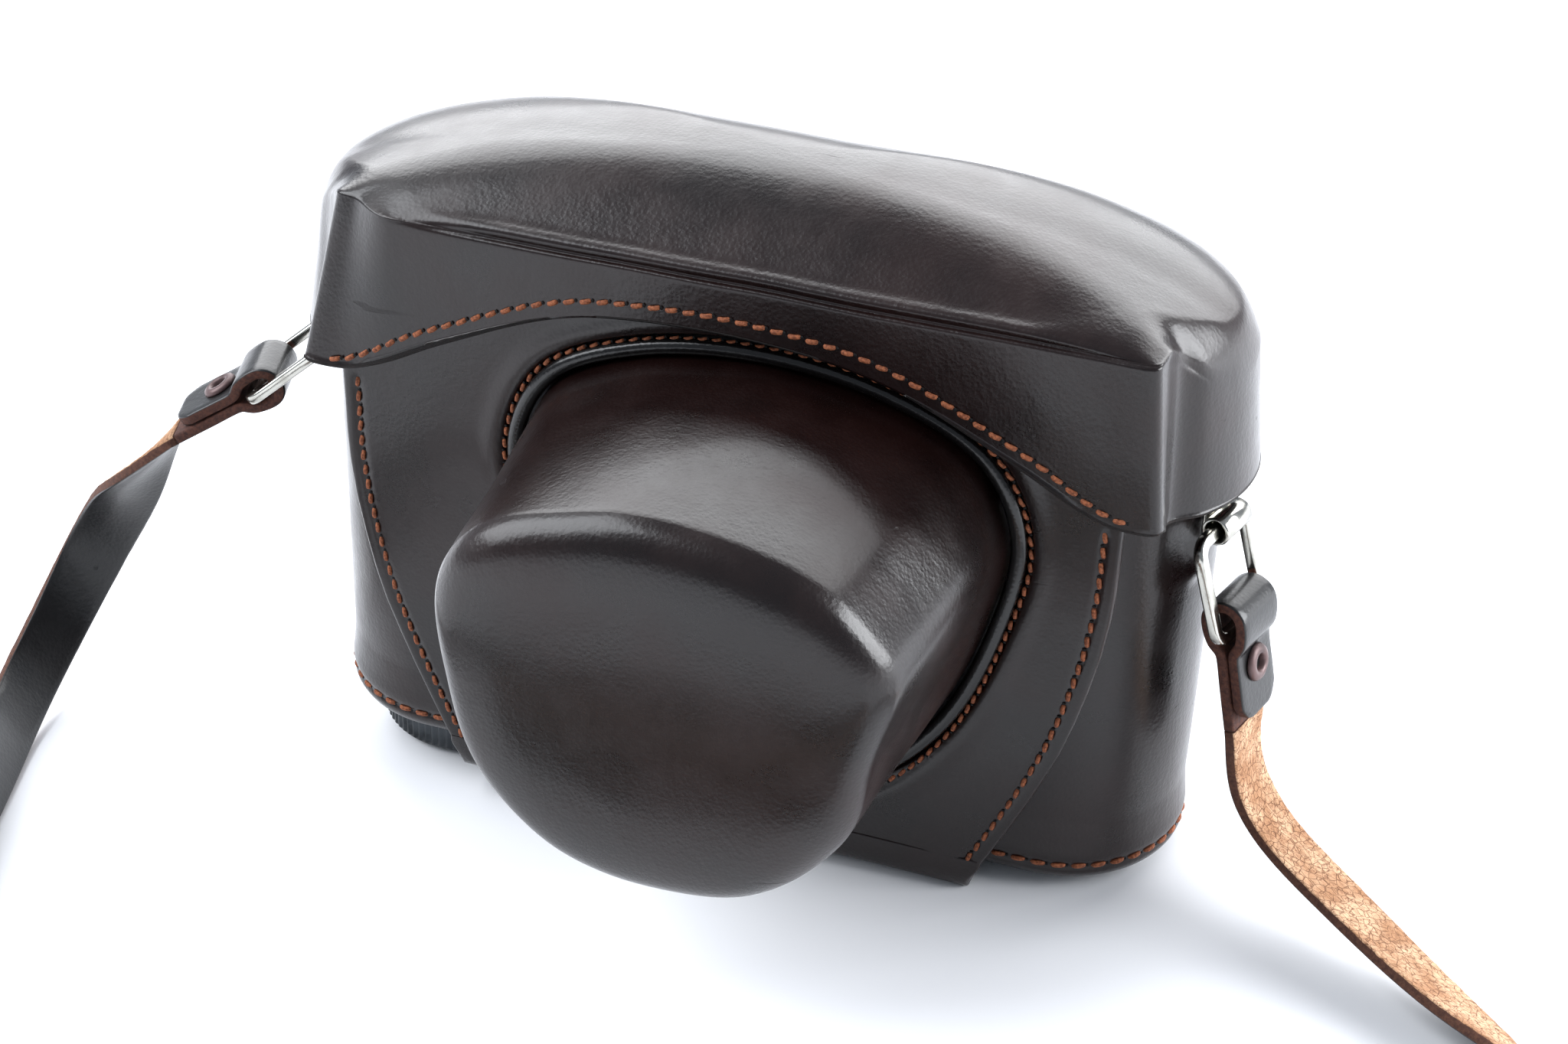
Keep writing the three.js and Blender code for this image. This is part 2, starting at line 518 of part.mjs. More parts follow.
// ---------------------------------------------------------------- lower half
const lensNotch = grow => {                           // cut in the front wall that clears the lens
  const wide = 29 + grow;
  const half = [[0, 20.5 - grow], [15 + grow / 2, 24 - grow], [25 + grow, 33], [wide, 44], [wide, 90]];
  const outline = [...half, ...half.slice(1).reverse().map(([x, z]) => [-x, z])];
  return plate(outline.map(([x, z]) => [x + NOSE_X, z]), -30, -10);
};
const wall = band([
  [0, 12], [0.6, SEAM_Z], [-0.7, 1.1], [-3.2, 0], [-RIM, 0], [-RIM, 2.2],
  [-LEATHER, 2.2], [-LEATHER, wallTop], [0, wallTop],
]);
put('half_case_wall', geometryOf(solid(wall).subtract(lensNotch(0))), 'leather');
const liningTop = y => wallTop(y) - 2;
const liningOut = -LEATHER - GAP, liningIn = liningOut - LINING;
const wallLining = band([[liningOut, 2.5], [liningIn, 2.5], [liningIn, liningTop], [liningOut, liningTop]]);
put('wall_lining', geometryOf(solid(wallLining).subtract(lensNotch(1.5))), 'lining');
const screwHole = r => solid(disc(r, -4, 9, -END_X, 0, 32));
put('base_sole', geometryOf(solid(slabUnder(-RIM - GAP, 0.1, 2.2)).subtract(screwHole(6.3))), 'leather');
put('base_pad', geometryOf(solid(slabUnder(liningIn - GAP, 2.5, 4.5)).subtract(screwHole(6.3))), 'lining');
const baseSeam = stadium(1.3).map(([x, y]) => V(x, y, SEAM_Z));
put('base_seam_thread', tube(baseSeam, 0.4, true, 4), 'thread');

const tongueHalf = [[TONGUE_HALF, -21.4], [41.5, -13], [33, 5], [28, 8.6]];
const tongueOutline = [...tongueHalf, ...tongueHalf.slice().reverse().map(([x, y]) => [-x, y])];
const tonguePlate = solid(prism(tongueOutline, -TONGUE_T - GAP, -GAP));
const lipSection = [[-24.9, -0.4], [-24.3, -1.9], [-22.8, -2.5], [-21.2, -2.5], [-21.2, -GAP], [-22.6, -GAP]];
const lip = skin([-1, 1].map(s => lipSection.map(([y, z]) => V(s * TONGUE_HALF, y, z))));
put('flap_tongue', geometryOf(tonguePlate.add(solid(lip))), 'leather');
for (const [name, side] of [['left', -1], ['right', 1]]) {
  const top = -TONGUE_T - 2 * GAP;
  put(`tongue_stud_${name}`, disc(4.6, top - 1, top, -8 + side * 22, -1, 20, 0.35), 'nickel');
}

// ---------------------------------------------------------------- tripod screw
const bush = solid(disc(6, 0.1, 5.6, -END_X, 0, 32)).subtract(screwHole(3.6));
put('screw_bush', geometryOf(bush), 'brass');
function knob() {                                     // drum with an upright knurl and a coin slot
  const teeth = 36, ring = (r, z, knurl) => Array.from({ length: teeth * 2 }, (_, i) => {
    const a = Math.PI * i / teeth, rr = r - (knurl && i % 2 ? 0.45 : 0);
    return V(-END_X + rr * Math.cos(a), rr * Math.sin(a), z);
  });
  const drum = solid(skin([
    ring(KNOB_FOOT, -KNOB_T), ring(KNOB_R, -KNOB_T + 0.8, true),
    ring(KNOB_R, -GAP - 0.8, true), ring(KNOB_FOOT, -GAP - 0.1),
  ]));
  const slot = solid(new THREE.BoxGeometry(22, 1.8, 2.4).toNonIndexed().translate(-END_X, 0, -KNOB_T));
  return geometryOf(drum.subtract(slot));
}
put('screw_knob', knob(), 'knob');
const shaftProfile = [
  [0, -0.1], [3.1, -0.1], [3.1, 7], [2.6, 7.6], [3.1, 8.2],
  [2.6, 8.8], [3.1, 9.4], [2.6, 10], [2.1, 10.6], [0, 10.6],
];
const shaft = new THREE.LatheGeometry(shaftProfile.map(p => new THREE.Vector2(...p)), 20);
shaft.rotateX(Math.PI / 2);
shaft.translate(-END_X, 0, 0);
shaft.deleteAttribute('normal');
shaft.deleteAttribute('uv');
put('screw_shaft', outward(mergeAll(shaft.toNonIndexed())), 'nickel');

// ---------------------------------------------------------------- front: flap, nose and cover
const holeOutline = outlineAt(OPENING, 3.4, 64);
put('front_flap', geometryOf(plate(flapOutline(0), FLAP_OUT, FLAP_IN, holeOutline)), 'leather');
put('nose_cup', noseCup(0, LEATHER - 0.2, true), 'leather');
put('nose_lining', noseCup(LEATHER - 0.2 + GAP, LINING, false), 'lining');
const pipingLine = outlineAt(OPENING, 1.75, 64).map(([x, z]) => V(x, FLAP_OUT + 0.5, z));
put('nose_piping', tube(pipingLine, 1.3, true, 8), 'piping');
const noseSeam = outlineAt(SEAM, 0, 64).map(([x, z]) => V(x, FLAP_OUT - 0.55, z));
put('nose_seam_thread', tube(noseSeam, 0.25, true, 4), 'thread');
for (const [name, side] of [['left', -1], ['right', 1]]) {
  const zs = Array.from({ length: 15 }, (_, i) => lerp(3.4, 71, i / 14));
  const seam = zs.map(z => V(side * (flapEdgeX(z) - 2.6), FLAP_OUT - 0.6, z));
  put(`flap_thread_${name}`, tube(seam, 0.3, false, 4), 'thread');
}
put('cover_shell', coverShell(0, LEATHER - 0.1), 'leather');
const flapRoom = plate(flapOutline(-0.6), -32, FLAP_IN + GAP);
put('cover_lining', geometryOf(solid(coverShell(LEATHER + 0.6, LINING, 1.2)).subtract(flapRoom)), 'lining');
const coverSeam = Array.from({ length: 33 }, (_, i) => {
  const x = lerp(-63, 63, i / 32), above = lerp(3, 1.9, step(50, 63, Math.abs(x)));
  return V(x, COVER_FRONT_Y - 0.7, along(ARCH, Math.abs(x)) + above);
});
put('cover_seam_thread', tube(coverSeam, 0.35, false, 4), 'thread');

// ---------------------------------------------------------------- closure at the back
const TAB_HALF = 8, TAB_Y = COVER_R + 0.5, STUD_Z = 80;
const WALL_Y = WALL_R + GAP;                          // face of the tab on the wall
const strip = section => skin([-TAB_HALF, TAB_HALF].map(x => section.map(([y, z]) => V(x, y, z))));
put('tab_foot', strip([[WALL_Y, 44], [WALL_Y, 61.2], [WALL_Y + 2, 61.2], [WALL_Y + 2, 44]]), 'leather');
const tab = strip([
  [WALL_Y, 61.6], [WALL_Y, 65.6], [TAB_Y, 69.8], [TAB_Y, 88],
  [TAB_Y + 2, 88], [TAB_Y + 2, 68.6], [WALL_Y + 2, 64.6], [WALL_Y + 2, 61.6],
]);
function studRod(r, y0, y1) {                         // round rod along y at the press stud's height
  const g = disc(r, -y1, -y0, 0, 0, 20);
  g.rotateX(Math.PI / 2);
  g.translate(0, 0, STUD_Z);
  return g;
}
put('closure_tab', geometryOf(solid(tab).subtract(solid(studRod(3.6, TAB_Y - 2, TAB_Y + 4)))), 'leather');
put('closure_stud_cap', studRod(5.4, TAB_Y + 2 + GAP, TAB_Y + 3.4), 'nickel');
put('closure_stud_post', studRod(2.1, COVER_R + 0.1, COVER_R + 1.8), 'nickel');

// ---------------------------------------------------------------- hangers, rings and strap
for (const [name, side] of [['left', -1], ['right', 1]]) {
  put(`hanger_${name}`, hangerSolid(side), 'nickel');
  put(`ring_${name}`, ringSolid(side), 'nickel');
  put(`strap_fold_${name}`, strapFold(side), 'leather');
  put(`eyelet_${name}`, eyelet(side), 'eyelet');
  put(`strap_${name}`, strapHalf(name, side), 'flesh', true);
}
export default group;
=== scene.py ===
# %% [markdown]
# # A leather ever ready case
# This lesson builds an old camera case in moulded leather around a finished mechanical model. The model
# is only a set of plain solids. Here each visible piece gets its real surface: stitched leather, a glossy
# cord round the nose, polished rings and a strap with one smooth and one rough side.

# %% Load the fixed model
import math
import bmesh
import bpy
import numpy as np
from mathutils import Matrix, Vector, noise


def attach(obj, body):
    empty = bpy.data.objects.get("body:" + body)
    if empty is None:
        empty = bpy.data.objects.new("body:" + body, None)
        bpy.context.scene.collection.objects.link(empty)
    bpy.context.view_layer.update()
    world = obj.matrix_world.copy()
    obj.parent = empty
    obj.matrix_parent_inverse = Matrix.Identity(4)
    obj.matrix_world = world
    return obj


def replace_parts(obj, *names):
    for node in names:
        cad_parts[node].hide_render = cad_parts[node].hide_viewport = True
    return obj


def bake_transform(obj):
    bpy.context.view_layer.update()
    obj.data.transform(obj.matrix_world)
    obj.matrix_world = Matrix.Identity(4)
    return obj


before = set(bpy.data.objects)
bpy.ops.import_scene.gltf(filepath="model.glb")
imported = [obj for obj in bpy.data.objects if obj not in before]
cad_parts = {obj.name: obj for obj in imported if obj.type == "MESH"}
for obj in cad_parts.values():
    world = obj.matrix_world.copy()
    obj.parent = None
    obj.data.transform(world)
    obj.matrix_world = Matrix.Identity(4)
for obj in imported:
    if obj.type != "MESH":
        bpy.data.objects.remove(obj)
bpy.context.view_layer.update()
print("nodes in the model:", len(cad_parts))

# %% [markdown]
# ## The case leans
# The maker draws the case standing level. On a table it stands on its tripod screw at one end and on the
# folded leather at the other, so it leans. Shapes below are in millimetres in the level frame, and one
# function turns and shifts them into place, in metres.

# %% From the drawing to the table
END_X, WALL_R, LEATHER, GAP = 53.2, 20.4, 2.4, 0.3
KNOB_R, KNOB_T, TONGUE_HALF, TONGUE_T = 15.8, 7.5, 44.5, 2.2
KNOB_FOOT = KNOB_R - 0.9
MM = 0.001
LEAN = math.atan((KNOB_T - TONGUE_T - GAP) / (TONGUE_HALF + END_X - KNOB_FOOT))
TURN = np.array(Matrix.Rotation(LEAN, 3, "Y"))
SHIFT = np.array([-3.8, 21.55, KNOB_T * math.cos(LEAN) - (END_X - KNOB_FOOT) * math.sin(LEAN)])


def place(points):
    return (np.asarray(points, float) @ TURN.T + SHIFT) * MM


def turned(direction):
    return np.asarray(direction, float) @ TURN.T


print("lean in degrees:", round(math.degrees(LEAN), 2))

# %% [markdown]
# ## Camera
# A camera can be dragged by hand in the viewport, or aimed by a tracking constraint. Here it is placed by
# numbers, so that it never drifts: turned a little to the right of the nose, about a third of the way up
# from level to straight down, and with a small roll.

# %% Camera
LENS, SENSOR = 62.73, 36.0
AZIMUTH, HEIGHT, ROLL = (math.radians(a) for a in (17.603, 32.451, -2.467))
AIM, AWAY = np.array([11.1, -24.9, 60.7]), 416.9
flat = math.cos(HEIGHT)
ahead = np.array([-math.sin(AZIMUTH) * flat, math.cos(AZIMUTH) * flat, -math.sin(HEIGHT)])
level = np.cross(ahead, [0, 0, 1])
level /= np.linalg.norm(level)
below = np.cross(ahead, level)
right = math.cos(ROLL) * level + math.sin(ROLL) * below
down = -math.sin(ROLL) * level + math.cos(ROLL) * below
camera = bpy.data.objects.new("camera", bpy.data.cameras.new("camera"))
camera.data.lens, camera.data.sensor_width = LENS, SENSOR
camera.data.clip_start, camera.data.clip_end = 0.01, 20
pose = np.eye(4)
pose[:3, :3] = np.array([turned(right), -turned(down), -turned(ahead)]).T
pose[:3, 3] = place(AIM - AWAY * ahead)
camera.matrix_world = Matrix(pose.tolist())
bpy.context.collection.objects.link(camera)
bpy.context.scene.camera = camera
print("camera at", camera.matrix_world.translation)

# %% [markdown]
# ## Curves and meshes in numbers
# A smooth curve through a few points can be a Blender curve, but leather shells need the same curve at
# many heights, so it is worked out in numpy. The centripetal form never overshoots at uneven points.


# %% A smooth curve through points
def curve_at(points, u, closed=False):
    """Points of the centripetal Catmull-Rom curve at parameters u, which count the given points."""
    p = np.asarray(points, float)
    n, u = len(p), np.asarray(u, float)
    k = np.minimum(np.floor(u).astype(int), n - 1 if closed else n - 2)
    w = (u - k)[:, None]
    if closed:
        p0, p1, p2, p3 = (p[(k + j) % n] for j in (-1, 0, 1, 2))
    else:
        q = np.vstack([2 * p[0] - p[1], p, 2 * p[-1] - p[-2]])
        p0, p1, p2, p3 = (q[k + j] for j in range(4))
    d0, d1, d2 = (np.maximum(np.linalg.norm(b - a, axis=1), 1e-9)[:, None] ** 0.5
                  for a, b in ((p0, p1), (p1, p2), (p2, p3)))
    t1 = ((p1 - p0) / d0 - (p2 - p0) / (d0 + d1) + (p2 - p1) / d1) * d1
    t2 = ((p2 - p1) / d1 - (p3 - p1) / (d1 + d2) + (p3 - p2) / d2) * d1
    return p1 + w * (t1 + w * (-3 * p1 + 3 * p2 - 2 * t1 - t2 + w * (2 * p1 - 2 * p2 + t1 + t2)))


def even(points, count, closed=False, fine=40):
    """count points at equal steps along the smooth curve, and their parameters."""
    spans = len(points) if closed else len(points) - 1
    u = np.linspace(0, spans, spans * fine + 1)
    if closed:
        path = curve_at(points, u[:-1], True)
        path = np.vstack([path, path[:1]])
    else:
        path = curve_at(points, u)
    run = np.r_[0, np.cumsum(np.linalg.norm(np.diff(path, axis=0), axis=1))]
    want = np.linspace(0, run[-1], count + 1)[:-1] if closed else np.linspace(0, run[-1], count)
    at = np.interp(want, run, u)
    return np.array([np.interp(want, run, path[:, j]) for j in range(path.shape[1])]).T, at, run[-1]


def smooth(a, b, x):
    """0 at a, 1 at b and an easy step between them; a may be the larger one."""
    t = np.clip((np.asarray(x, float) - a) / (b - a), 0, 1)
    return t * t * (3 - 2 * t)


QUARTER = np.radians([0, 30, 60, 90])
print("length of a round of radius 1, as a smooth curve:",
      round(float(even([(math.cos(q), math.sin(q)) for q in np.linspace(0, 5.5, 8)], 20)[2]), 2))

# %% [markdown]
# ## Skins
# Moulded leather is one sheet with two faces and an edge. A flat mesh with a Solidify modifier would give
# it, but its edge would be sharp and even. A skin of rings, laid one after another from the inner face
# over the edge to the outer face, can carry a rounded edge, a groove or a ridge wherever it is wanted.


# %% Meshes from rings of points
def piece(name, points, faces, finishes, which=None, placed=False):
    """A mesh object; points in the level frame in mm, or in the final frame when placed."""
    pts = np.asarray(points, float) * MM if placed else place(points)
    mesh = bpy.data.meshes.new(name)
    mesh.from_pydata(pts.tolist(), [], [list(map(int, f)) for f in faces])
    for finish in finishes:
        mesh.materials.append(finish)
    if which is not None:
        mesh.polygons.foreach_set("material_index", np.asarray(which, np.int32))
    mesh.polygons.foreach_set("use_smooth", [True] * len(mesh.polygons))
    mesh.validate()
    mesh.update()
    obj = bpy.data.objects.new(name, mesh)
    bpy.context.collection.objects.link(obj)
    return obj


def ring_faces(rows, columns, around=True, closed_rows=False, offset=0):
    """Quads between rows of points; around joins each row's ends."""
    last = rows if closed_rows else rows - 1
    j, i = np.meshgrid(np.arange(last), np.arange(columns if around else columns - 1), indexing="ij")
    j, i = j.ravel(), i.ravel()
    up, nx = (j + 1) % rows, (i + 1) % columns
    return np.stack([j * columns + i, j * columns + nx, up * columns + nx, up * columns + i], 1) + offset


def face_out(obj):
    """Turn all faces outwards."""
    work = bmesh.new()
    work.from_mesh(obj.data)
    bmesh.ops.recalc_face_normals(work, faces=work.faces)
    work.to_mesh(obj.data)
    work.free()
    return obj


def skin(name, rings, finishes, row_finish=None, caps=False, closed_rows=False, placed=False):
    """One closed skin over rings; row_finish gives each row of faces its finish."""
    rows, columns = len(rings), len(rings[0])
    points = np.concatenate([np.asarray(r, float) for r in rings])
    faces = [list(f) for f in ring_faces(rows, columns, True, closed_rows)]
    which = [0] * len(faces) if row_finish is None else list(np.repeat(row_finish, columns))
    if caps:
        faces.append(list(range(columns)))
        faces.append(list(range((rows - 1) * columns, rows * columns)))
        which += [which[0], which[-1]]
    return face_out(piece(name, points, faces, finishes, which, placed=placed))


print("faces in a band of 2 rings of 8 points:", len(ring_faces(2, 8)))

# %% [markdown]
# ## Finishes
# Each finish is a short tree of nodes. A small class lets the maths be written as sums and products, and
# one method adds any other node. Grain, creases and wear come from noise at the scale of the real thing.


# %% Shader maths as expressions
class Wire:
    """A socket whose value varies over the surface. Sums and products add Math nodes."""

    def __init__(self, tree, socket):
        self.tree, self.socket = tree, socket

    def _math(self, operation, a, b):
        node = self.tree.nodes.new("ShaderNodeMath")
        node.operation = operation
        for k, value in enumerate((a, b)):
            if isinstance(value, Wire):
                self.tree.links.new(value.socket, node.inputs[k])
            else:
                node.inputs[k].default_value = value
        return Wire(self.tree, node.outputs[0])

    def __add__(self, other):
        return self._math("ADD", self, other)

    def __sub__(self, other):
        return self._math("SUBTRACT", self, other)

    def __mul__(self, other):
        return self._math("MULTIPLY", self, other)

    def __rsub__(self, other):
        return self._math("SUBTRACT", other, self)

    __radd__, __rmul__ = __add__, __mul__


class Finish:
    """A Principled material with one method for nodes."""

    def __init__(self, name, **fixed):
        self.material = bpy.data.materials.new(name)
        self.material.use_nodes = True
        self.tree = self.material.node_tree
        self.shader = self.tree.nodes["Principled BSDF"]
        for socket, value in fixed.items():
            value = (*value, 1) if isinstance(value, tuple) and len(value) == 3 else value
            self.shader.inputs[socket.replace("_", " ")].default_value = value
        self.where = self.node("ShaderNodeTexCoord", {}, {}, "Object")

    def node(self, kind, settings, inputs, output=0):
        """Any node: its settings are set first, then each input gets a value or a wire."""
        node = self.tree.nodes.new(kind)
        for key, value in settings.items():
            setattr(node, key, value)
        for key, value in inputs.items():
            if isinstance(value, Wire):
                self.tree.links.new(value.socket, node.inputs[key])
            else:
                node.inputs[key].default_value = value
        return Wire(self.tree, node.outputs[output])

    def noise(self, scale, detail=3.0, rough=0.55, stretch=None):
        where = self.where
        if stretch:
            where = self.node("ShaderNodeMapping", {}, {"Vector": where, "Scale": stretch})
        return self.node("ShaderNodeTexNoise", {}, {
            "Vector": where, "Scale": scale, "Detail": detail, "Roughness": rough}, "Fac")

    def cells(self, scale, feature="F1", randomness=1.0):
        return self.node("ShaderNodeTexVoronoi", {"feature": feature}, {
            "Vector": self.where, "Scale": scale, "Randomness": randomness}, "Distance")

    def ramp(self, value, low, high):
        return self.node("ShaderNodeMapRange", {"interpolation_type": "SMOOTHSTEP"}, {
            "Value": value, "From Min": low, "From Max": high}, "Result")

    def blend(self, mask, a, b):
        """Colour a where the mask is 0 and b where it is 1. The Mix node's colours are sockets 6 and 7."""
        a, b = (v if isinstance(v, Wire) else (*v, 1) for v in (a, b))
        return self.node("ShaderNodeMix", {"data_type": "RGBA"}, {0: mask, 6: a, 7: b}, 2)

    def feed(self, socket, wire):
        self.tree.links.new(wire.socket, self.shader.inputs[socket])

    def bump(self, height, distance, strength=1.0):
        self.feed("Normal", self.node("ShaderNodeBump", {}, {
            "Height": height, "Distance": distance, "Strength": strength}, "Normal"))


print("helpers for finishes:", Wire.__name__, Finish.__name__)

# %% [markdown]
# ## Case leather
# The case is thick cowhide, almost black, polished by years of hands, so it has a hard shine over fine
# pores. A single roughness would look like plastic. Here the shine is a thin coat that is worn away in
# scratches, and pores and wrinkles are a bump, because they are too fine to be worth real geometry.


# %% Moulded case leather
def case_leather(name, dark, warm, shine):
    f = Finish(name, Coat_Roughness=0.16, Coat_IOR=1.45, Specular_IOR_Level=0.36)
    broad = f.noise(22, 2)
    patch = f.noise(90, 4, 0.6)
    pores = f.cells(1500)
    fine = f.noise(2600, 2)
    wrinkle = f.noise(420, 3, 0.6, (1.0, 1.0, 0.45))
    scratch = f.ramp(f.noise(260, 2, 0.5, (0.05, 1.0, 1.6)), 0.725, 0.76)
    f.feed("Base Color", f.blend(f.ramp(broad + patch * 0.5, 0.5, 1.0), dark, warm))
    f.feed("Roughness", shine + f.ramp(patch, 0.35, 0.7) * 0.08 + scratch * 0.12 + fine * 0.05)
    f.feed("Coat Weight", 0.24 - scratch * 0.16)
    f.bump(pores * 0.5 + fine * 0.35 + wrinkle * 1.3 - scratch * 0.5, 0.00009, 0.55)
    return f.material


LEATHER_DARK = case_leather("case_leather", (0.0036, 0.0014, 0.0013), (0.0105, 0.0033, 0.0027), 0.25)
STRAP_GRAIN = case_leather("strap_grain", (0.0032, 0.0031, 0.0035), (0.0062, 0.0058, 0.0064), 0.32)
print("leathers:", LEATHER_DARK.name, STRAP_GRAIN.name)

# %% [markdown]
# ## The inside of leather
# The back of a strap is pale and fibrous, with small cracks, and a cut edge is browner than the face. The
# cracks are the borders of Voronoi cells, which gives the net of an old hide at once, where noise alone
# would give clouds.


# %% Rough and cut leather
def flesh_side():
    f = Finish("strap_flesh", Specular_IOR_Level=0.25)
    crack = f.ramp(f.cells(800, "DISTANCE_TO_EDGE") + f.noise(900, 2) * 0.12, 0.03, 0.13)
    nap = f.noise(1300, 5, 0.7)
    soft = f.noise(160, 3)
    pale = f.blend(f.ramp(soft, 0.35, 0.65), (0.38, 0.2, 0.105), (0.62, 0.4, 0.25))
    f.feed("Base Color", f.blend(crack * f.ramp(nap, 0.3, 0.55), (0.2, 0.09, 0.045), pale))
    f.feed("Roughness", 0.8 + nap * 0.15)
    f.bump(crack * 0.8 + nap, 0.00035, 0.8)
    return f.material


def cut_edge(name, colour, deep):
    f = Finish(name, Specular_IOR_Level=0.3)
    fibre = f.noise(1500, 4, 0.65)
    f.feed("Base Color", f.blend(f.ramp(fibre, 0.3, 0.7), deep, colour))
    f.feed("Roughness", 0.62 + fibre * 0.25)
    f.bump(fibre, 0.0002, 0.6)
    return f.material


STRAP_FLESH = flesh_side()
STRAP_EDGE = cut_edge("strap_edge", (0.115, 0.047, 0.028), (0.05, 0.018, 0.011))
FOLD_EDGE = cut_edge("fold_edge", (0.095, 0.034, 0.021), (0.034, 0.011, 0.0075))
DARK_EDGE = cut_edge("dark_edge", (0.011, 0.006, 0.005), (0.004, 0.0025, 0.0022))
print("rough leathers:", STRAP_FLESH.name, STRAP_EDGE.name, FOLD_EDGE.name, DARK_EDGE.name)

# %% [markdown]
# ## Thread, velvet and metal
# The thread is waxed and orange brown, the lining is red velvet, and the fittings are nickel and lacquered
# steel. Metals are mostly what they reflect, so they need little more than a colour and a roughness, with
# a slightly duller wear over them that keeps them from looking new.


# %% Thread, piping, velvet and metals
def thread():
    f = Finish("waxed_thread", Specular_IOR_Level=0.3)
    ply = f.noise(2400, 2)
    f.feed("Base Color", f.blend(f.ramp(ply, 0.3, 0.7), (0.13, 0.036, 0.015), (0.34, 0.11, 0.046)))
    f.feed("Roughness", 0.6 + ply * 0.25)
    f.bump(ply, 0.00012, 0.6)
    return f.material


def velvet():
    f = Finish("red_velvet", Sheen_Weight=0.6, Sheen_Roughness=0.4, Specular_IOR_Level=0.1)
    pile = f.noise(1900, 3)
    brushed = f.ramp(f.noise(70, 3), 0.35, 0.65)
    f.feed("Base Color", f.blend(brushed, (0.035, 0.003, 0.0045), (0.065, 0.006, 0.008)))
    f.feed("Roughness", 0.85 + pile * 0.1)
    f.bump(pile, 0.0003, 0.8)
    return f.material


def metal(name, colour, dull, rough, metallic=1.0, wear=0.12):
    f = Finish(name, Metallic=metallic)
    worn = f.ramp(f.noise(240, 4, 0.6), 0.4, 0.7)
    f.feed("Base Color", f.blend(worn, colour, dull))
    f.feed("Roughness", rough + worn * wear)
    f.bump(f.noise(1800, 3), 0.00002, 0.5)
    return f.material


THREAD, VELVET = thread(), velvet()
PIPING = case_leather("piping_leather", (0.002, 0.0017, 0.0017), (0.003, 0.0024, 0.0024), 0.16)
NICKEL = metal("polished_nickel", (0.5, 0.49, 0.45), (0.36, 0.35, 0.31), 0.14)
KNOB = metal("knob_metal", (0.06, 0.066, 0.072), (0.03, 0.033, 0.036), 0.34, 0.9)
EYELET = metal("eyelet_lacquer", (0.115, 0.068, 0.066), (0.06, 0.034, 0.033), 0.4, 0.35)
BRASS = metal("turned_brass", (0.56, 0.4, 0.17), (0.36, 0.25, 0.1), 0.25)
# Needle holes are near-black discs: painted shade standing in for the dark inside of each hole.
NEEDLE_HOLE_SHADE = cut_edge("needle_hole_painted_shade", (0.004, 0.003, 0.003), (0.001, 0.001, 0.001))
print("other finishes:", [f.name for f in (THREAD, VELVET, PIPING, NICKEL, KNOB, EYELET, BRASS, NEEDLE_HOLE_SHADE)])

# %% [markdown]
# ## The strap
# A leather strap can't bend in its own plane, so where it curves over the table it stands on its edge,
# and where it hangs from its ring it lies flat. The route of each half is a list of given points with
# the angle of the smooth side: 0 faces the inside of the loop, 90 faces down.

# %% Strap route
STRAP_W, STRAP_T, TURN_IN = 11.0, 1.8, 36.0
HANG_FREE, HANG_END, FACE_PASSES, LINE_PASSES = 85, 125, 140, 50
RING = {"gap": 12.4, "tall": 16.2, "bar": 2.0, "yaw": 16.0, "slid": 2.0, "barrel": 8.0, "roll": 2.35,
        "height": 65.4}
STRAP_ROUTES = {
    "right": [
        (80.4, 13.2, 22, 86), (83, 12.8, 16.6, 80), (88, 9, 13, 76), (95.1, 4.6, 10.5, 73),
        (101.9, -0.3, 8.5, 71), (108.5, -5.2, 6.6, 70), (115, -10, 5.2, 68), (122.8, -15.2, 0, 62),
        (130, -22, 0, 48), (135.5, -33, 0, 28), (138, -48, 0, 8), (136, -66, 0, 0),
        (126, -82, 0, 0), (108, -92, 0, 0), (80, -96.5, 0, 0), (40, -98, 0, 0),
        (0, -99.5, 0, 0), (-40, -101, 0, 0), (-56, -103, 0, 0), (-62.5, -109, 0, 0),
        (-56, -115, 0, 0), (-40, -117, 0, 0), (-10, -116.5, 0, 0), (30, -116, 0, 0)],
    "left": [
        (-112.5, 10.5, 44.5, 62), (-119.8, 15, 35.5, 24), (-127.8, 16.8, 24.4, -5), (-131.8, 11, 15, -22),
        (-133, 2, 9, -32), (-131.4, -11.4, 0, -35), (-127.8, -21, 0, -30), (-121, -40, 0, -12),
        (-114, -60, 0, 0), (-106, -85, 0, 0), (-96, -106, 0, 0), (-80, -121, 0, 0),
        (-56, -129, 0, 0), (-20, -131.5, 0, 0), (30, -132, 0, 0), (80, -131.5, 0, 0),
        (102, -130, 0, 0), (110, -124, 0, 0), (103, -118, 0, 0), (80, -116.5, 0, 0),
        (54, -116, 0, 0), (30, -116, 0, 0)]}
print("points by hand:", {word: len(route) for word, route in STRAP_ROUTES.items()})


# %% Where a ring and a fold hang
def unit(v):
    return np.asarray(v, float) / np.linalg.norm(v)


def hanger_frame(side):
    """Axis, outward direction and middle of a strap ring's hanger."""
    a = math.radians(RING["yaw"])
    axis = np.array([side * math.sin(a), math.cos(a), 0])
    out = np.array([side * math.cos(a), -math.sin(a), 0])
    mid = out * (WALL_R + GAP + RING["roll"]) + [side * END_X, 0, RING["height"]]
    return axis, out, mid


def ring_frame(side):
    """Axis, falling direction, normal and upper bar of a ring, which hangs at its own angle."""
    axis, out, mid = hanger_frame(side)
    a = math.radians(19 if side > 0 else 50)
    fall = out * math.sin(a) - np.array([0, 0, math.cos(a)])
    normal = out * math.cos(a) + np.array([0, 0, math.sin(a)])
    return axis, fall, normal, mid - side * RING["slid"] * axis


